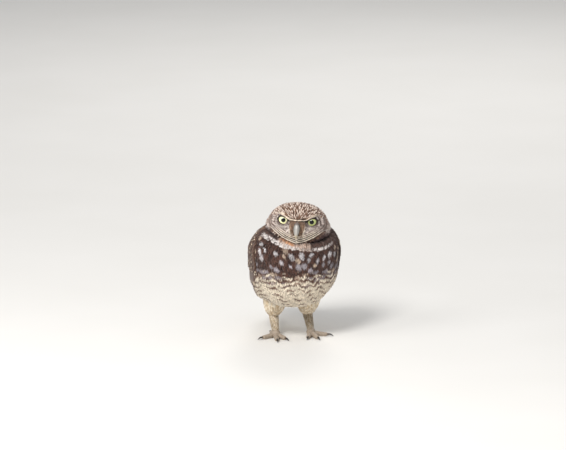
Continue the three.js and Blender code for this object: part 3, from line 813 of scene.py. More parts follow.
# Neck, breast, belly and back. Soft contour feathers shingle from the neck to the vent: a buff
# throat, dark collar patches over a white crescent, a chocolate breast with rounded pale spots
# that widen into bars, a buff-white barred belly, and a brown back with pale spots.
body_draw = np.random.default_rng(SEED["body"])
BODY = tones(
    breast="#4f342a", breast_deep="#2f1d18", spot="#cfc9c9", spot_buff="#bda692", low_spot="#988f95",
    collar="#4f3931", crescent="#d8cfca", throat="#b9a293", orange="#cf9264", belly="#e2d4bf",
    vent="#ece3d4", bar="#6e4c3a", back="#684d3d", back_spot="#e2d0b6",
)
PITCH = {"front": 1.8, "back": 2.7, "fine": 1.25, "cell": 2.8}
LENGTH = {"front": 11.0, "back": 12.0, "fine": 6.0}
SPOTS = {"apart": 6.1, "cell": 6.5, "wide": 2.5, "tall": 3.6}
BODY_TRIES = 220000
# The middle of the white crescent across the throat: x, and its height there
CRESCENT = (
    [-45, -38, -22, -8, 2, 8, 12, 17, 24, 32, 39, 46],
    [125, 121.5, 113.5, 110, 108.5, 108, 107.4, 107.2, 107.6, 109, 112.6, 118],
)


def body_path(u, angle, length, lift, swing=0.0, base=0.0, root=COAT["body"]):
    """at(s) for feathers on the body: towards the tail, from root depth to lift over base."""
    step, aside = STEP["u"], 0.05
    rate = np.linalg.norm(outline(u + step, angle) - outline(u - step, angle), axis=-1) / (2 * step)
    girth = outline(u, angle + aside) - outline(u, angle - aside)
    girth = np.linalg.norm(girth, axis=-1) / (2 * aside)

    def at(s):
        height = base - root * (1 - s) ** 2.5 + lift * s
        return over_body(u + length * s / rate, angle + swing * length * s / girth, height)

    return at


def over_crescent(p):
    """Height over the middle line of the white crescent across the throat."""
    return p[..., 2] - np.interp(p[..., 0], *CRESCENT)


def blotch_share(points, centres, wide, tall):
    """Each point's distance from the nearest blotch in its own radii, and that blotch's number."""
    best, number = np.full(points.shape[:-1], 9.0), np.zeros(points.shape[:-1], int)
    for i, centre in enumerate(centres):
        gap = points - centre
        across = gap[..., 0] - 0.45 * math.tanh(centre[0] / 12) * gap[..., 2]
        share = np.sqrt((across**2 + gap[..., 1] ** 2) / wide[i] ** 2 + (gap[..., 2] / tall[i]) ** 2)
        number[share < best] = i
        best = np.minimum(best, share)
    return best, number


u = 0.02 + 0.82 * body_draw.random(BODY_TRIES)
angle = np.pi * (2 * body_draw.random(BODY_TRIES) - 1)
point = outline(u, angle)
side = np.degrees(np.abs(angle))
wing_edge = np.interp(u, [0.09, 0.3, 0.5, 0.7, 0.85, 0.95], [84, 104, 104, 96, 84, 75])
wing_top = np.interp(u, [0.09, 0.35, 0.83], [42, 20, 8])
under_wing = (u > 0.11) & (side > wing_top + 4) & (side < wing_edge - 8)
h = to_head(point)
under_face = (h[:, 1] < -2) & (np.abs(h[:, 0]) < 30) & (h[:, 2] > rim_line(h[:, 0]) + 1.2)
in_head = np.linalg.norm(h, axis=1) < np.linalg.norm(head_form(h), axis=1) - 0.3
fine = bump(np.maximum(-over_crescent(point) - 1, 0), 11) * ease(side, 70, 110)
fine = np.clip(fine + (1 - ease(u, 0.06, 0.16)) * (side <= 110), 0, 1)
pitch = np.where(side > 84, PITCH["front"], PITCH["back"]) * (1 - fine) + PITCH["fine"] * fine
keep = np.where(~under_wing & ~in_head & ~under_face)[0]
keep = keep[scattered(point[keep], pitch[keep], PITCH["cell"])]
u, angle, point, side, pitch, fine, wing_edge = (
    v[keep] for v in (u, angle, point, side, pitch, fine, wing_edge)
)
count = len(u)
draw, second, third = body_draw.random((3, count))
ruff = fine > 0.45
front = side > 84
length = np.where(front, LENGTH["front"], LENGTH["back"]) * (1 - fine) + LENGTH["fine"] * fine
length = length * (0.85 + 0.3 * draw) * (1 - 0.4 * ease(u, 0.7, 0.84))
tuck = 2.4 * bump(side - wing_edge - 1, 8) * (1 - ease(u, 0.5, 0.62)) * ease(u, 0.1, 0.16)
lift = 0.12 + 0.2 * draw + tuck
swing = 0.35 * (second - 0.5)
seen = body_path(u, angle, length, lift, swing)(0.85)[0]

# The breast's spots: evenly strewn, taller above, wide and greyer below, some of them buff
order = body_draw.permutation(np.where(front & (seen[:, 2] > 64))[0])
order = order[scattered(seen[order], np.full(len(order), SPOTS["apart"]), SPOTS["cell"])]
order = order[(over_crescent(seen[order]) < -4) & (body_draw.random(len(order)) < 0.86)]
centres, size = seen[order], body_draw.uniform(0.7, 1.3, (3, len(order)))
lower = ease(-centres[:, 2], -96, -80)
wide, tall = (SPOTS["wide"] + 1.3 * lower) * size[0], (SPOTS["tall"] - 1.4 * lower) * size[1]
whites = blend(BODY["spot"], BODY["low_spot"], 0.9 * ease(-centres[:, 2], -104, -86))
whites = np.where((size[2] < 0.88)[:, None], BODY["spot_buff"], whites)
whites = whites * (0.6 + 0.45 * body_draw.random((len(order), 1)))


def breast_tone(k, p, shade):
    """Chocolate with the spots, and below it the belly's bars on pale ground."""
    x, height = p[..., 0], p[..., 2]
    near, number = blotch_share(p, centres, wide, tall)
    near = near + 0.22 * np.sin(1.9 * x + number) * np.sin(1.6 * height + 2 * number)
    deep = ease(shade + 0.3 * np.sin(x / 3) * np.sin(height / 3), 0.1, 1.1)
    tone = blend(BODY["breast"], BODY["breast_deep"], deep)
    tone = blend(tone, whites[number], 0.95 * (1 - ease(near, 0.66, 1.2)))
    drift = 1.6 * np.sin(x / 4.3) + 1.2 * np.sin(x / 1.9 + height / 5) + 2.2 * draw[k][:, None]
    wave = np.sin(2 * np.pi * (height + drift) / 6.2) + 0.35 * np.sin(x / 2.7 + height / 3.3)
    belly = ease(-height, -88, -58)
    open_ground = 1 - ease(wave, 2.2 * belly - 1.5, 2.2 * belly - 1.2)
    vent = ease(u[k], 0.42, 0.6)[:, None] + 0 * x
    ground = blend(BODY["belly"], BODY["vent"], vent)
    tone = blend(tone, BODY["bar"], 0.8 * belly)
    return blend(tone, ground, np.maximum(open_ground * ease(belly, 0.02, 0.12), vent))


def throat_tone(k, p, shade, above, left):
    """A buff throat, orange by the rim, between dark collar patches, over the patchy crescent."""
    x, h = p[..., 0], to_head(p)
    flecks = 0.7 * (draw[k][:, None] < 0.18 + 0.3 * ease(x, 0, 6))
    throat = blend(BODY["throat"], FACE["lore_dark"], flecks)
    under_rim = rim_line(h[..., 0]) - h[..., 2]
    tint = bump(np.minimum(under_rim, 0), 1) * (1 - ease(under_rim, 2.4, 4.4))
    throat = blend(throat, BODY["orange"], 0.85 * tint * (1 - ease(h[..., 0], -5, 1)))
    inner = ease(x + 2 * shade, -25, -21) * (1 - ease(x + 2 * shade, 9, 13))
    collar = BODY["collar"] * (0.65 + 0.7 * shade[..., None])
    upper = blend(collar, FACE["cheek_dark"], 0.8 * (shade > 0.8) + 0 * x)
    upper = blend(upper, throat, inner)
    band = blend(BODY["crescent"], BODY["spot_buff"], 0.4 * bump(x, 10))
    band = blend(band, FACE["cheek_dark"], 0.55 * bump(x - 7, 7))
    flecked = 1 - 0.65 * (draw[k] < 0.28)[:, None]
    patches = np.sin(0.62 * x + 2.2 * np.sin(0.37 * x)) + 1.2 * (second[k][:, None] - 0.5)
    flecked = flecked * (0.4 + 0.6 * ease(patches, -0.9, 0.2)) * (1 - ease(x, 35, 39))
    return blend(upper, band, (1 - ease(above, 0.7 + 1.2 * left, 1.9 + 1.2 * left)) * flecked)


def body_tones(k):
    """The tone of each vertex of the body's feathers k by its place on the bird."""

    def at_points(points):
        shade = third[k][:, None]
        p = points + 0.9 * (np.stack([draw, second, third], 1)[k][:, None] - 0.5)
        x = p[..., 0]
        left = ease(-x, 5, 18)
        above = over_crescent(p) + 0.6 * np.sin(x * 1.1) * np.sin(x / 2.3) + 0.9 * bump(x + 20, 4)
        of_throat = (side[k][:, None] > 98) & (above > -1.7 - 0.9 * left)
        tone = breast_tone(k, p, shade)
        tone = np.where(of_throat[..., None], throat_tone(k, p, shade, above, left), tone)
        back = BODY["back"] * (0.85 + 0.3 * shade[..., None])
        tone = np.where(front[k][:, None, None], tone, back)
        mark = BODY["back_spot"] * np.ones((len(k), 1))
        strength = (third[k] < 0.42) & ~front[k]
        spot = np.stack([0.84 + 0.04 * draw[k], 0.1 + 0.03 * second[k], 0.2 + 0.08 * draw[k], strength], -1)
        bright = (0.86 + 0.28 * second[k])[:, None, None]
        return marks(tone * bright, mark, spot, 0.5 + 0.1 * np.sign(draw[k] - 0.5))

    return at_points


half = np.where(ruff, 0.78, np.where(front, 0.95, 1.0)) * pitch * (0.85 + 0.3 * third)
body_unwrap = np.stack([angle / (2 * np.pi) * 0.96 + 0.5, 0.02 + u * 0.96], -1)
contour_plumage = plumage("contour_feathers_of_the_body", barbs=32)
low = point[:, 2] <= 76
for name, chosen in (
    ("ruff_feathers", ruff),
    ("breast_feathers", ~ruff & front & ~low),
    ("belly_feathers", ~ruff & front & low & (u < 0.45)),
    ("vent_feathers", ~ruff & front & low & (u >= 0.45)),
    ("back_feathers", ~ruff & ~front),
):
    k = np.where(chosen)[0]
    path = body_path(u[k], angle[k], length[k], lift[k], swing[k])
    lay(name, CONTOUR, path, half[k], 0.07, body_tones(k), body_unwrap[k],
        contour_plumage, "body_plumage", roll=body_draw.normal(scale=0.12, size=len(k)), sag=0.12)

# Wings. Each folded wing lies on the flank: small coverts over the arm, rows of median and
# greater coverts, barred secondaries, and long primaries that reach the tail, each vane lapping
# over the next outward. Loose scapulars cover the wing's inner edge from the back.
FLIGHT = feather_blank(
    [0, 0.12, 0.25, 0.4, 0.55, 0.7, 0.82, 0.91, 0.97, 1],
    [0.5, 0.82, 0.95, 1, 1, 0.98, 0.88, 0.66, 0.4, 0.14], 6, frayed=0.004,
)
# Each row's vanes, the u and degrees of its first and last root and tip, its rise and its arch
WING_TIERS = [
    ("primaries", 10, [[0.5, 104], [0.5, 76]], [[0.9, 68], [0.955, 10]], [0.7, 1.6], 0.03),
    ("secondaries", 11, [[0.42, 104], [0.38, 36]], [[0.78, 90], [0.85, 10]], [1.0, 2.6], 0.0),
    ("greater_coverts", 13, [[0.33, 104], [0.3, 40]], [[0.58, 99], [0.6, 30]], [1.0, 3.2], 0.0),
    ("median_coverts", 13, [[0.24, 103], [0.21, 46]], [[0.44, 100], [0.44, 36]], [1.0, 3.8], 0.0),
]
# Each small coat's first and last u, inner and outer degrees, pitch, feather length and tries
SMALL_COATS = (
    ("lesser_coverts", 0.07, 0.3, 34, 104, 2.2, 8.0, 16000),
    ("scapulars", 0.1, 0.6, 12, 44, 3.4, 15.0, 14000),
)
WING = tones(vane="#66503f", bar="#cdb594", covert="#5a4337", spot="#d6c3a8")
flight_plumage = plumage("barred_flight_feathers", barbs=70, bars=5, shaft=0.55, gloss=0.62, fringe=0.2)
covert_plumage = plumage("spotted_wing_coverts", barbs=40, shaft=0.7, gloss=0.7, fringe=0.35)


def wing_top_height(u, side):
    """How high the wing's upper side stands over the body's outline."""
    return 4.0 * ease(side, 16, 36) * ease(u, 0.06, 0.2) * (1 - 0.7 * ease(side, 60, 100))


for label, side in (("left", 1), ("right", -1)):
    wing_draw = np.random.default_rng(SEED[f"wing_{label}"])
    for tier, number, roots, tips, rise, arch in WING_TIERS:
        flying = tier != "median_coverts"
        share = np.linspace(0, 1, number)
        (start_u, start_a), (end_u, end_a) = (
            [np.interp(share, [0, 1], [ends[0][i], ends[1][i]]) for i in (0, 1)] for ends in (roots, tips)
        )
        end_u = end_u + arch * (1 - (2 * share - 1) ** 2) + 0.005 * wing_draw.normal(size=number)
        end_a = end_a + 0.7 * wing_draw.normal(size=number)
        gap = [
            np.linalg.norm(np.diff(outline(u, np.radians(a)), axis=0), axis=1).mean()
            for u, a in ((start_u, start_a), (end_u, end_a))
        ]

        def at(s):
            a = np.radians(start_a + (end_a - start_a) * s) * side
            u = start_u + (end_u - start_u) * s
            return over_body(u, a, np.full(len(u), rise[0] - 0.6 + (rise[1] - rise[0] + 0.6) * s))

        half = max(sum(gap) / 2 * (0.95 if flying else 0.9), 2.8)
        bright = 0.88 + 0.24 * wing_draw.random(number)[:, None]
        tone, mark = (WING[key] * bright for key in (("vane", "bar") if flying else ("covert", "spot")))
        spot = np.tile([2.0, 0.1, 0.1, 0.7] if flying else [0.84, 0.07, 0.16, 1.0], (number, 1))
        piece = lay(
            f"{tier}_{label}", FLIGHT, at, half, 0.2,
            marks(tone, mark, spot, 0.5 if flying else 0.5 + 0.2 * side),
            np.stack([0.5 + side * np.radians(start_a) / 6.6, start_u], -1),
            flight_plumage if flying else covert_plumage, "flight_plumage", roll=-side * 0.09, sag=0.05,
        )
        if tier == "primaries":
            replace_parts(piece, f"wing_{label}")

    # Small coverts over the wrist and arm, growing down the wing, and scapulars along its inner side
    for name, first, last, inner, outer, pitch, length, tries in SMALL_COATS:
        u = first + (last - first) * wing_draw.random(tries)
        a = np.radians(inner + (outer - inner) * wing_draw.random(tries))
        edge = np.minimum(np.interp(u, [0.07, 0.12, 0.27], [86, 100, 104]), outer - 20 * ease(u, 0.3, 0.6))
        keep = np.where(np.degrees(a) < edge)[0]
        keep = keep[scattered(outline(u[keep], a[keep]), np.full(len(keep), pitch), pitch)]
        u, a = u[keep], a[keep]
        draw, second, third = wing_draw.random((3, len(u)))
        grown = 1 + 0.5 * ease(u, 0.1, 0.28) * (name == "lesser_coverts")
        shape = [0.82 + 0.05 * draw, 0.09 + 0.04 * second, 0.2 + 0.06 * third, 1.0 * (second < 0.46)]
        tone = WING["covert"] * (0.85 + 0.3 * draw[:, None])
        mark = WING["spot"] * (0.9 + 0.2 * third[:, None])
        top = wing_top_height(u, np.degrees(a))
        lift, turn = 0.9 + 0.4 * draw, 0.3 * (third - 0.5)
        path = body_path(u, a * side, length * grown, lift, turn, base=top, root=1.6)
        lay(
            f"{name}_{label}", CONTOUR, path, 0.85 * pitch * grown, 0.16,
            marks(tone, mark, np.stack(shape, -1), 0.5 + 0.14 * np.sign(draw - 0.5)),
            np.stack([a * side / 6.6 + 0.5, u], -1), covert_plumage, "flight_plumage",
            roll=wing_draw.normal(scale=0.1, size=len(u)), sag=0.1,
        )

# Tail. Twelve short rectrices in a narrow fan, the middle pair on top, brown with buff bars,
# their roots hidden by the rump's coverts above and plain buff coverts below.
TAIL = {"count": 12, "root": 0.78, "tip": 0.985, "half": 4.4, "root_spread": 6, "spread": 14.5}
place = (2 * np.arange(TAIL["count"]) + 1) / TAIL["count"] - 1
tail_end = TAIL["tip"] - 0.03 * place**2


def tail_path(s):
    u = TAIL["root"] + (tail_end - TAIL["root"]) * s
    middle, out = over_body(u, np.zeros(len(u)), -2.4 - 0.9 * np.abs(place) * TAIL["count"] / 4)
    spread = TAIL["root_spread"] + (TAIL["spread"] - TAIL["root_spread"]) * s
    return middle + np.stack([place * spread, 0 * place, 0 * place], -1), out


bright = 0.9 + 0.2 * body_draw.random(TAIL["count"])[:, None]
spot = np.tile([2.0, 0.1, 0.1, 0.8], (TAIL["count"], 1))
tail = lay(
    "tail_feathers", FLIGHT, tail_path, TAIL["half"], 0.2,
    marks(WING["vane"] * bright, WING["bar"] * bright, spot),
    np.stack([0.5 + place * 0.1, np.full(TAIL["count"], 0.8)], -1), flight_plumage, "flight_plumage",
    roll=0.12 * np.sign(place), sag=0.04,
)
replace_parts(tail, "tail")

# Legs. Thighs wear loose pale-buff feathers, and the long shanks short bristly ones down to the
# toes. They hang from the skin along each limb, those past the thigh's end straight down.
leg_draw = np.random.default_rng(SEED["legs"])
LEG_TONES = [np.array(linear(c)) for c in ("#d9c8ad", "#c4ae90", "#e6dac6")]
LEG_TRIES = 16000
HANG = unit(np.array([0, -0.3, -1.0]))


def bezier(points, t):
    a, b, c = (np.array(p, float) for p in points)
    t = np.asarray(t)[..., None]
    return (1 - t) ** 2 * a + 2 * t * (1 - t) * b + t**2 * c


def over_limb(points, size, t, angle, height):
    """A point over a round limb along a curve, and the way out."""
    t = np.clip(t, 0, 1)
    shaft = unit(bezier(points, np.minimum(t + 0.01, 1)) - bezier(points, np.maximum(t - 0.01, 0)))
    across = unit(np.cross(np.array([0, 0, 1.0]), shaft))
    above = np.cross(shaft, across)
    wide, deep = size(t)
    spoke = across * (np.cos(angle) * wide)[..., None] + above * (np.sin(angle) * deep)[..., None]
    out = unit(spoke)
    return bezier(points, t) + spoke + out * np.asarray(height)[..., None] + HOME, out


def thigh_size(t):
    closing = np.sqrt(np.maximum(0.02, 1 - 0.85 * t**5))
    return (14 - 5 * t) * closing, (17 - 7.5 * t) * closing


def shank_size(t):
    return 5.4 - 2 * t, 6 - 2.4 * t


# Each part's line from top to end, its size, pitch, length, half width, root depth and blank
LIMBS = (
    ("thigh", [(19, 10, 49), (19, 16, 33), (19, 27, 23)], thigh_size, 1.55, 7.5, 1.1, -1.2, PLUME),
    ("shank", [(19, 25, 29), (19.5, 15, 17.5), (20, 5, 6)], shank_size, 0.9, 4.0, 0.42, -0.5, WISP),
)
leg_plumage = plumage("bristly_leg_feathers", barbs=14, shaft=0.9)
for label, side in (("left", 1), ("right", -1)):
    for part, line, size, step, reach, wide, deep, blank in LIMBS:
        points = np.array(line) * [side, 1, 1]
        t, a = leg_draw.random(LEG_TRIES), 2 * np.pi * leg_draw.random(LEG_TRIES)
        p, _ = over_limb(points, size, t, a, np.zeros(LEG_TRIES))
        keep = scattered(p, np.full(LEG_TRIES, step), 2.5)
        t, a = t[keep], a[keep]
        span = np.linalg.norm(points[0] - points[2])
        lift = 0.5 + 0.5 * leg_draw.random(len(t))
        if part == "thigh":
            lift = lift + 2.2 * ease(t, 0.7, 0.95) * leg_draw.random(len(t))

        def at(s):
            run = t + reach * (1 - 0.6 * t**2) * s / span
            point, out = over_limb(points, size, run, a, deep * (1 - s) ** 2 + lift * (1 - 0.5 * t) * s)
            past = np.maximum(run - 1, 0) * span
            return point + HANG * past[:, None], out

        choice = leg_draw.integers(0, 3, len(t))
        tone = np.array(LEG_TONES)[choice] * (0.9 + 0.2 * leg_draw.random(len(t))[:, None])
        round_leg = 0.25 + 0.5 * (side > 0) + (a / (2 * np.pi) - 0.5) * 0.4
        unwrap = np.stack([round_leg, 0.1 + 0.35 * t + 0.5 * (part == "shank")], -1)
        lay(f"{part}_feathers_{label}", blank, at, wide, 0.2, marks(tone), unwrap,
            leg_plumage, "leg_plumage", roll=leg_draw.normal(scale=0.12, size=len(t)), sag=0.1)

# Eyes. Each is a wet globe under a clear bulging cornea: a round black pupil in a lemon iris
# with fine fibres and a dark edge. Thin lids of folded skin lie on the globe, bare and dark at
# their edge, slanting down to the bill under the brow.
IRIS = {"radius": 5.6, "pupil": 2.45, "bulge": 0.55, "cornea": 5.2, "shade_from": 3.4}
# The two irises are lit and shaded copies of one colour: the right one paler as painted light, the left
# darker and greener as painted shade
EYES = (("left", 1, "#aeb476", "#929a58"), ("right", -1, "#fffcc4", "#f2eda0"))  # the iris by its side
LID = {"segments": 72, "reach": 7.15}
LID_PROFILE = np.array([  # share from the opening to the globe's side, and height over the globe
    [0, -0.3], [0, 0.12], [0.02, 0.36], [0.07, 0.5], [0.14, 0.5], [0.28, 0.46], [0.36, 0.34], [0.44, 0.46],
    [0.6, 0.36], [0.7, 0.44], [1, 0.36], [1, -0.4], [0.5, -0.4], [0, -0.3],
])


def lit_eye(name, yellow, edge, centre, sight):
    """The eye's colours by distance from its line of sight, under a wet gloss."""
    material, tree = new_material(name)
    pupil, rim = IRIS["pupil"], IRIS["radius"]
    turn_to = Vector(sight).to_track_quat("Z", "Y").to_euler()
    place = add(tree, "TexCoord", out="Object")
    eye_frame = {"Vector": place, "Location": centre * MM, "Rotation": turn_to}
    local = add(tree, "Mapping", eye_frame, vector_type="TEXTURE")
    split = add(tree, "SeparateXYZ", {0: local}, out=None)
    flat = add(tree, "CombineXYZ", {0: split[0], 1: split[1]})
    off = add(tree, "VectorMath", {0: flat}, operation="LENGTH", out="Value")
    spoke = add(tree, "VectorMath", {0: flat}, operation="NORMALIZE")
    fibre = add(tree, "TexNoise", {"Vector": spoke, "Scale": 14.0, "Detail": 4.0, "Roughness": 0.65})
    fibre = add(tree, "MapRange", {"Value": fibre, 1: 0.3, 2: 0.7, 3: 0.8, 4: 1.1})
    ring = add(tree, "MapRange", {"Value": off, 1: IRIS["shade_from"] * MM, 2: rim * MM})
    tint = {0: ring, 6: (*linear(yellow), 1), 7: (*linear(edge), 1)}
    tint = add(tree, "Mix", tint, data_type="RGBA", out=2)
    inside = add(tree, "MapRange", {"Value": off, 1: pupil * MM, 2: (pupil + 0.2) * MM})
    outside = add(tree, "MapRange", {"Value": off, 1: (rim - 0.4) * MM, 2: rim * MM, 3: 1.0, 4: 0.0})
    seen_through = add(tree, "Math", {0: inside, 1: outside}, operation="MULTIPLY")
    colour = tint
    for factor in (fibre, seen_through):
        colour = add(tree, "VectorMath", {0: colour, "Scale": factor}, operation="SCALE")
    surface = add(tree, "BsdfPrincipled", {
        "Base Color": colour, "Roughness": 0.4, "IOR": 1.38, "Specular IOR Level": 0.0,
        "Coat Weight": 1.0, "Coat Roughness": 0.02, "Coat IOR": 1.45,
    })
    add(tree, "OutputMaterial", {0: surface}, out=None)
    return material


def painted(name, grain_mm, gloss, ior=1.5, depth=0.06, coat=0.0, vary=0.2):
    """A material whose colour each vertex carries, with a fine grain of its own."""
    material, tree = new_material(name)
    tone = add(tree, "Attribute", attribute_name="tone", out="Color")
    place = add(tree, "TexCoord", out="Object")
    grain = add(tree, "TexNoise", {"Vector": place, "Scale": 1 / (grain_mm * MM), "Detail": 4.0})
    shade = add(tree, "MapRange", {"Value": grain, 1: 0.25, 2: 0.75, 3: 1 - vary, 4: 1 + vary})
    surface = add(tree, "BsdfPrincipled", {
        "Base Color": add(tree, "VectorMath", {0: tone, "Scale": shade}, operation="SCALE"),
        "Normal": add(tree, "Bump", {"Height": grain, "Strength": 0.5, "Distance": depth * MM}),
        "Roughness": gloss, "IOR": ior, "Coat Weight": coat, "Coat Roughness": 0.25,
    })
    add(tree, "OutputMaterial", {0: surface}, out=None)
    return material


def paint(mesh, tone):
    """Stores a tone at each vertex."""
    full = np.ones((len(mesh.vertices), 4))
    full[:, :3] = tone
    mesh.attributes.new("tone", "FLOAT_COLOR", "POINT").data.foreach_set("color", full.ravel())


def places(mesh, kind="co"):
    """Each vertex's place in millimetres, or its normal."""
    flat = np.empty(3 * len(mesh.vertices))
    mesh.vertices.foreach_get(kind, flat)
    return flat.reshape(-1, 3) / (MM if kind == "co" else 1)


def shown(mesh, name, material):
    """The mesh as a smooth piece of the model."""
    piece = linked(name, mesh)
    mesh.polygons.foreach_set("use_smooth", np.ones(len(mesh.polygons), bool))
    mesh.materials.clear()
    mesh.materials.append(material)
    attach(piece, "root")
    return piece


def lid_edge(turned):
    """The opening's edge round the eye, away from the bill and up from its middle."""
    c, s = np.cos(turned), np.sin(turned)
    x = 5.3 * c - 0.3 - 0.5 * np.maximum(0, -c) ** 4
    z = np.where(s > 0, (2.85 + 0.24 * x) * s, 4.3 * s) + 0.12 * x + 0.1
    return x, z


lid_material = painted("folded_skin_of_the_lids", 0.5, 0.55, 1.45, 0.1)
for label, side, yellow, edge in EYES:
    centre = eye_centre(side)
    low, high = (np.array(c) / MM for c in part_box(f"pupil_{label}"))
    sight = unit((low + high) / 2 - centre)
    globe = bmesh.new()
    bmesh.ops.create_uvsphere(globe, u_segments=48, v_segments=32, radius=EYE["radius"] * MM)
    for vert in globe.verts:
        off = math.hypot(vert.co.x, vert.co.y) / MM / IRIS["cornea"]
        if vert.co.z > 0 and off < 1:
            vert.co.z += IRIS["bulge"] * MM * (1 - off**2)
    facing = Vector(sight).to_track_quat("Z", "Y").to_matrix().to_4x4()
    bmesh.ops.transform(globe, matrix=facing, verts=globe.verts[:])
    bmesh.ops.translate(globe, vec=Vector(centre * MM), verts=globe.verts[:])
    iris = lit_eye(f"wet_iris_{label}", yellow, edge, centre, sight)
    eye = shown(joined([globe], f"eyeball_{label}"), f"eyeball_{label}", iris)
    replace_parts(eye, f"eye_{label}", f"pupil_{label}")

    ring = bmesh.new()
    bmesh.ops.create_grid(ring, x_segments=LID["segments"], y_segments=len(LID_PROFILE) - 1, size=1)
    flat = corners(ring)
    turned = np.pi * flat[:, 0]
    share, over = LID_PROFILE[((flat[:, 1] + 1) / 2 * (len(LID_PROFILE) - 1)).round().astype(int)].T
    x, z = lid_edge(turned)
    x = x + (LID["reach"] * np.cos(turned) - x) * share
    z = z + (LID["reach"] * np.sin(turned) - z) * share
    y = -np.sqrt(np.maximum((EYE["radius"] + over) ** 2 - x**2 - z**2, 0.01))
    shaped(ring, from_head(np.stack([side * (EYE["side"] + x), EYE["back"] + y, EYE["up"] + z], -1)))
    bmesh.ops.remove_doubles(ring, verts=ring.verts[:], dist=1e-6)
    bmesh.ops.recalc_face_normals(ring, faces=ring.faces[:])
    lids = joined([ring], f"eyelids_{label}")
    h = to_head(places(lids))
    share = eye_share(h[:, 0], h[:, 2], 0.0)
    # The dark edge reaches further over the upper lid: partly the lids' dark rim, partly painted shadow of
    # the brow
    above = ease(h[:, 2] - EYE["up"], -1.5, 1.5)
    paint(lids, blend(FACE["lash"], FACE["cheek_dark"], ease(share - 0.5 * above, 1.12, 1.3)))
    shown(lids, f"eyelids_{label}", lid_material)

# Bill. Horn over bone, smooth and waxy: pale grey with a lighter ridge and a yellowish tip,
# darker at its base, where the round nostrils open in the cere; the upper half hooks over the
# short lower one.
BILL = tones(
    ground="#8b8882", ridge="#aeaaa3", flank="#6d655e", tip="#b3a17e", base="#6a5f58", nostril="#1d1614"
)
bill_horn = painted("waxy_bill_horn", 1.6, 0.4, 1.55, 0.02, 0.2, vary=0.09)
# The upper half from cere to hook: ridge y and z, lower edge y and z, half the width
HOOK = np.array([
    [-27, 4.6, -27, -4.5, 3.2],
    [-31.6, 4.2, -28, -5.8, 3.65],
    [-34.6, 1.4, -28.9, -7, 3.6],
    [-36.1, -2.6, -29.9, -8, 3.2],
    [-36.1, -6.6, -30.9, -9.2, 2.6],
    [-35, -10.1, -31.7, -10.8, 1.85],
    [-33.7, -12.6, -32.2, -12.7, 1.0],
    [-32.5, -14.2, -32.3, -14.2, 0.15],
])


def from_nostril(h, side):
    """Distance from the nearer nostril, whose middle is side off the head's middle plane."""
    return np.linalg.norm(np.abs(h) - [side, 31.3, 0.6], axis=1) * np.where(h[:, 2] > -2, 1, 9)


upper = bmesh.new()
bmesh.ops.create_uvsphere(upper, u_segments=56, v_segments=64, radius=1)
way = unit(corners(upper))
share, angle = np.arccos(np.clip(way[:, 2], -1, 1)) / np.pi, np.arctan2(way[:, 0], way[:, 1])
ridge_y, ridge_z, edge_y, edge_z, half = along_line(HOOK, share).T
closing = np.sqrt(np.maximum(0, 1 - np.abs(2 * np.minimum(share, 0.5) - 1) ** 12))
up = np.cos(angle) * closing / 2
form = np.stack([
    np.sin(angle) * half * closing * (1 - 0.22 * np.maximum(np.cos(angle), 0) ** 2),
    (ridge_y + edge_y) / 2 + up * (ridge_y - edge_y),
    (ridge_z + edge_z) / 2 + up * (ridge_z - edge_z),
], -1)
form[:, 0] *= 1 - 0.28 * bump(from_nostril(form, 3.3), 0.75)
shaped(upper, from_head(form))
bmesh.ops.recalc_face_normals(upper, faces=upper.faces[:])
lower = remeshed(joined([solid_copy("bill_lower", 0.0004)], "bill_lower"), 0.00032, "bill_lower", smooth=3)
for node, mesh in (("bill_upper", joined([upper], "bill_upper")), ("bill_lower", lower)):
    h = to_head(places(mesh))
    tone = blend(BILL["flank"], BILL["ground"], 1 - ease(np.abs(h[:, 0]), 2.2, 3.8))
    tone = blend(tone, BILL["ridge"], bump(h[:, 0], 1.1) * ease(-h[:, 1], 24, 29))
    tone = blend(tone, BILL["tip"], 0.8 * ease(-h[:, 2], 8, 12.5))
    tone = blend(tone, BILL["base"], ease(h[:, 2], 0.2, 2.4))
    # The nostrils and the horn round them are darkened: painted shade in the openings
    pit = from_nostril(h, 3.2)
    tone = blend(tone, BILL["nostril"], 0.5 * (1 - ease(pit, 1.4, 3.0)))
    paint(mesh, blend(tone, BILL["nostril"], 1 - ease(pit, 0.7, 1.3)))
    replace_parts(shown(mesh, f"{node}_horn", bill_horn), node)

# Feet. Toes are bare grey-brown skin over padded soles, crossed by scutes on top; dark curved
# claws are keratin sheaths over bone. Both are the solids, fused and smoothed, with flesh round
# each claw's root.
TOE = {"scute": 1.45, "relief": 0.13, "knuckle": 5.0, "tip": 2.2}
CLAW = tones(root="#6a5c4e", point="#1d1714")
TOES = tones(top="#a09180", groove="#574b41", sole="#ab9d8b")
toe_material = painted("scaly_skin_of_the_toes", 0.5, 0.62, 1.45, 0.12)
claw_horn = painted("dark_claw_keratin", 0.8, 0.3, 1.55, 0.03, 0.2)


def set_on_floor(mesh, place):
    """Moves a mesh's vertices to their places, none of them under the floor."""
    place[:, 2] = np.maximum(place[:, 2], 0)
    mesh.vertices.foreach_set("co", (place * MM).ravel())


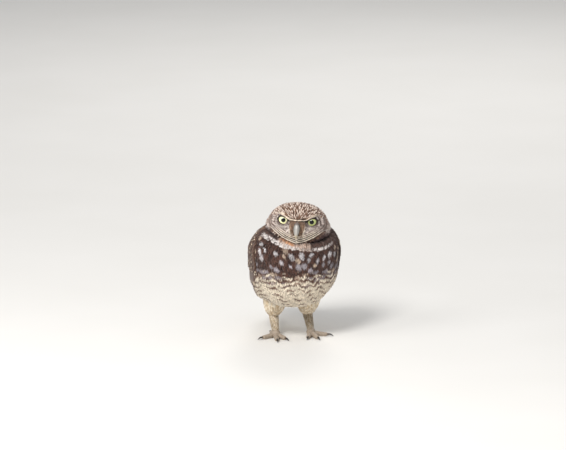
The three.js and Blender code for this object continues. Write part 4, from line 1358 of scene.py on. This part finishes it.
for label, side, foot in zip(("left", "right"), (1, -1), feet_top):
    foot_middle, tips = np.array([side * 20, 4, 3.9]) + HOME, []
    for toe in ("inner", "middle", "outer", "hind"):
        node = f"claw_{toe}_{label}"
        mesh = remeshed(joined([solid_copy(node)], node), 0.00025, node)
        place = places(mesh)
        out = np.hypot(*(place - foot_middle)[:, :2].T)
        root = place[out < out.min() + 0.7].mean(0)
        inward = unit(foot_middle * [1, 1, 0] - root * [1, 1, 0])
        tips.append(ball(root + inward * 0.9, TOE["tip"], 3))
        set_on_floor(mesh, place)
        paint(mesh, blend(CLAW["root"], CLAW["point"], ease(out - out.min(), 0.5, 5)))
        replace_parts(shown(mesh, f"{node}_horn", claw_horn), node)
    mesh = remeshed(joined([foot, *tips], "foot"), 0.00034, f"toes_{label}", smooth=3)
    place, normal = places(mesh), places(mesh, "normal")
    off = place - foot_middle
    out = np.hypot(off[:, 0], off[:, 1])
    scute = np.abs(np.sin(np.pi * out / TOE["scute"])) ** 0.6
    upper = ease(normal[:, 2], -0.1, 0.5) * ease(out, TOE["knuckle"], TOE["knuckle"] + 1.5)
    set_on_floor(mesh, place + normal * (TOE["relief"] * (scute - 0.6) * upper)[:, None])
    tone = blend(TOES["groove"], TOES["top"], 0.25 + 0.75 * np.where(upper > 0.3, scute, 0.7))
    paint(mesh, blend(tone, TOES["sole"], ease(-normal[:, 2], 0.3, 0.8)))
    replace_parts(shown(mesh, f"toes_{label}", toe_material), f"foot_{label}")

# Colours of the skin. They follow the feathers that grow on it, darkened as painted shade in the
# depth of the coat, and the one skin stands for all the flesh of head, body and legs.
SHADE_IN_THE_COAT = 0.6
roots, root_tones = np.concatenate(coat_roots), np.concatenate(coat_tones)
tree_of_roots = KDTree(len(roots))
for index, root in enumerate(roots):
    tree_of_roots.insert(Vector(root * MM), index)
tree_of_roots.balance()
nearest = [tree_of_roots.find(v.co)[1] for v in skin.vertices]
paint(skin, root_tones[nearest] * SHADE_IN_THE_COAT)
skin_piece = shown(skin, "owl_skin", painted("feathered_skin", 1.0, 0.9, 1.45, 0.3))
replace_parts(skin_piece, "head", "neck", "torso", "thigh_left", "thigh_right", "shank_left", "shank_right")

# Studio. A pale floor, a key lamp and a larger one beside it from the owl's right, a weak fill
# from its left and a soft lamp from behind.
floor_mesh = bmesh.new()
bmesh.ops.create_grid(floor_mesh, x_segments=2, y_segments=2, size=4)
floor = linked("studio_floor", joined([floor_mesh], "studio_floor"))
paper, paper_tree = new_material("matt_backdrop_paper")
grain = add(paper_tree, "TexNoise", {"Vector": add(paper_tree, "TexCoord", out="Object"), "Scale": 6.0})
paper_tint = {0: grain, 6: (*linear("#d6d3cd"), 1), 7: (*linear("#dcd9d4"), 1)}
paper_tint = add(paper_tree, "Mix", paper_tint, data_type="RGBA", out=2)
paper_surface = add(paper_tree, "BsdfPrincipled", {"Base Color": paper_tint, "Roughness": 0.95})
add(paper_tree, "OutputMaterial", {0: paper_surface}, out=None)
floor.data.materials.append(paper)

SKY = {"colour": (0.86, 0.88, 0.92, 1), "strength": 0.55}
world = bpy.data.worlds.new("studio")
world.use_nodes = True
sky_colour, sky_strength = world.node_tree.nodes["Background"].inputs[:2]
sky_colour.default_value = SKY["colour"]
sky_strength.default_value = SKY["strength"]
bpy.context.scene.world = world

# Each lamp's place, its size in metres and its power in watts
LAMPS = (
    ("side", (-1.5, -0.7, 1.2), 0.8, 10),
    ("key", (-0.75, -1.05, 1.2), 0.5, 25),
    ("fill", (1.5, -1.0, 0.7), 1.2, 3),
    ("back", (0.6, 1.6, 1.4), 1.0, 16),
)
target = Vector((0, -0.03, 0.09))
for name, place, size, power in LAMPS:
    light = bpy.data.lights.new(name, "AREA")
    light.shape = "DISK"
    light.size = size
    light.energy = power
    lamp = linked(name, light)
    lamp.location = place
    lamp.rotation_euler = (target - Vector(place)).to_track_quat("-Z", "Y").to_euler()

# The camera looks at the owl from a little to its right and above, with a long lens, so that
# its eyes fall where the photograph has them in a frame of 566 by 450.
AZIMUTH, ELEVATION, LENS, SENSOR = math.radians(-12), math.radians(12.5), 320.0, 36
FRAME = (566, 450)
WIDE = 0.6226  # metres across the frame at the eyes
EYES_AT = (297.6, 221.0)
across, ahead = math.cos(AZIMUTH), math.sin(AZIMUTH)
view = Vector((-ahead * math.cos(ELEVATION), across * math.cos(ELEVATION), -math.sin(ELEVATION)))
right = Vector((across, ahead, 0))
above = right.cross(view)
pupils = [sum(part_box(f"pupil_{label}"), Vector()) / 2 for label in ("left", "right")]
between = (pupils[0] + pupils[1]) / 2
distance = WIDE * LENS / SENSOR
pixel = WIDE / FRAME[0]
shift = right * (EYES_AT[0] - FRAME[0] / 2) * pixel + above * (FRAME[1] / 2 - EYES_AT[1]) * pixel
lens = bpy.data.cameras.new("camera")
lens.lens = LENS
lens.sensor_width = SENSOR
lens.clip_end = 50
camera = linked("camera", lens)
camera.location = between - view * distance - shift
camera.rotation_euler = view.to_track_quat("-Z", "Y").to_euler()
bpy.context.scene.camera = camera
bpy.context.scene.view_settings.view_transform = "Standard"
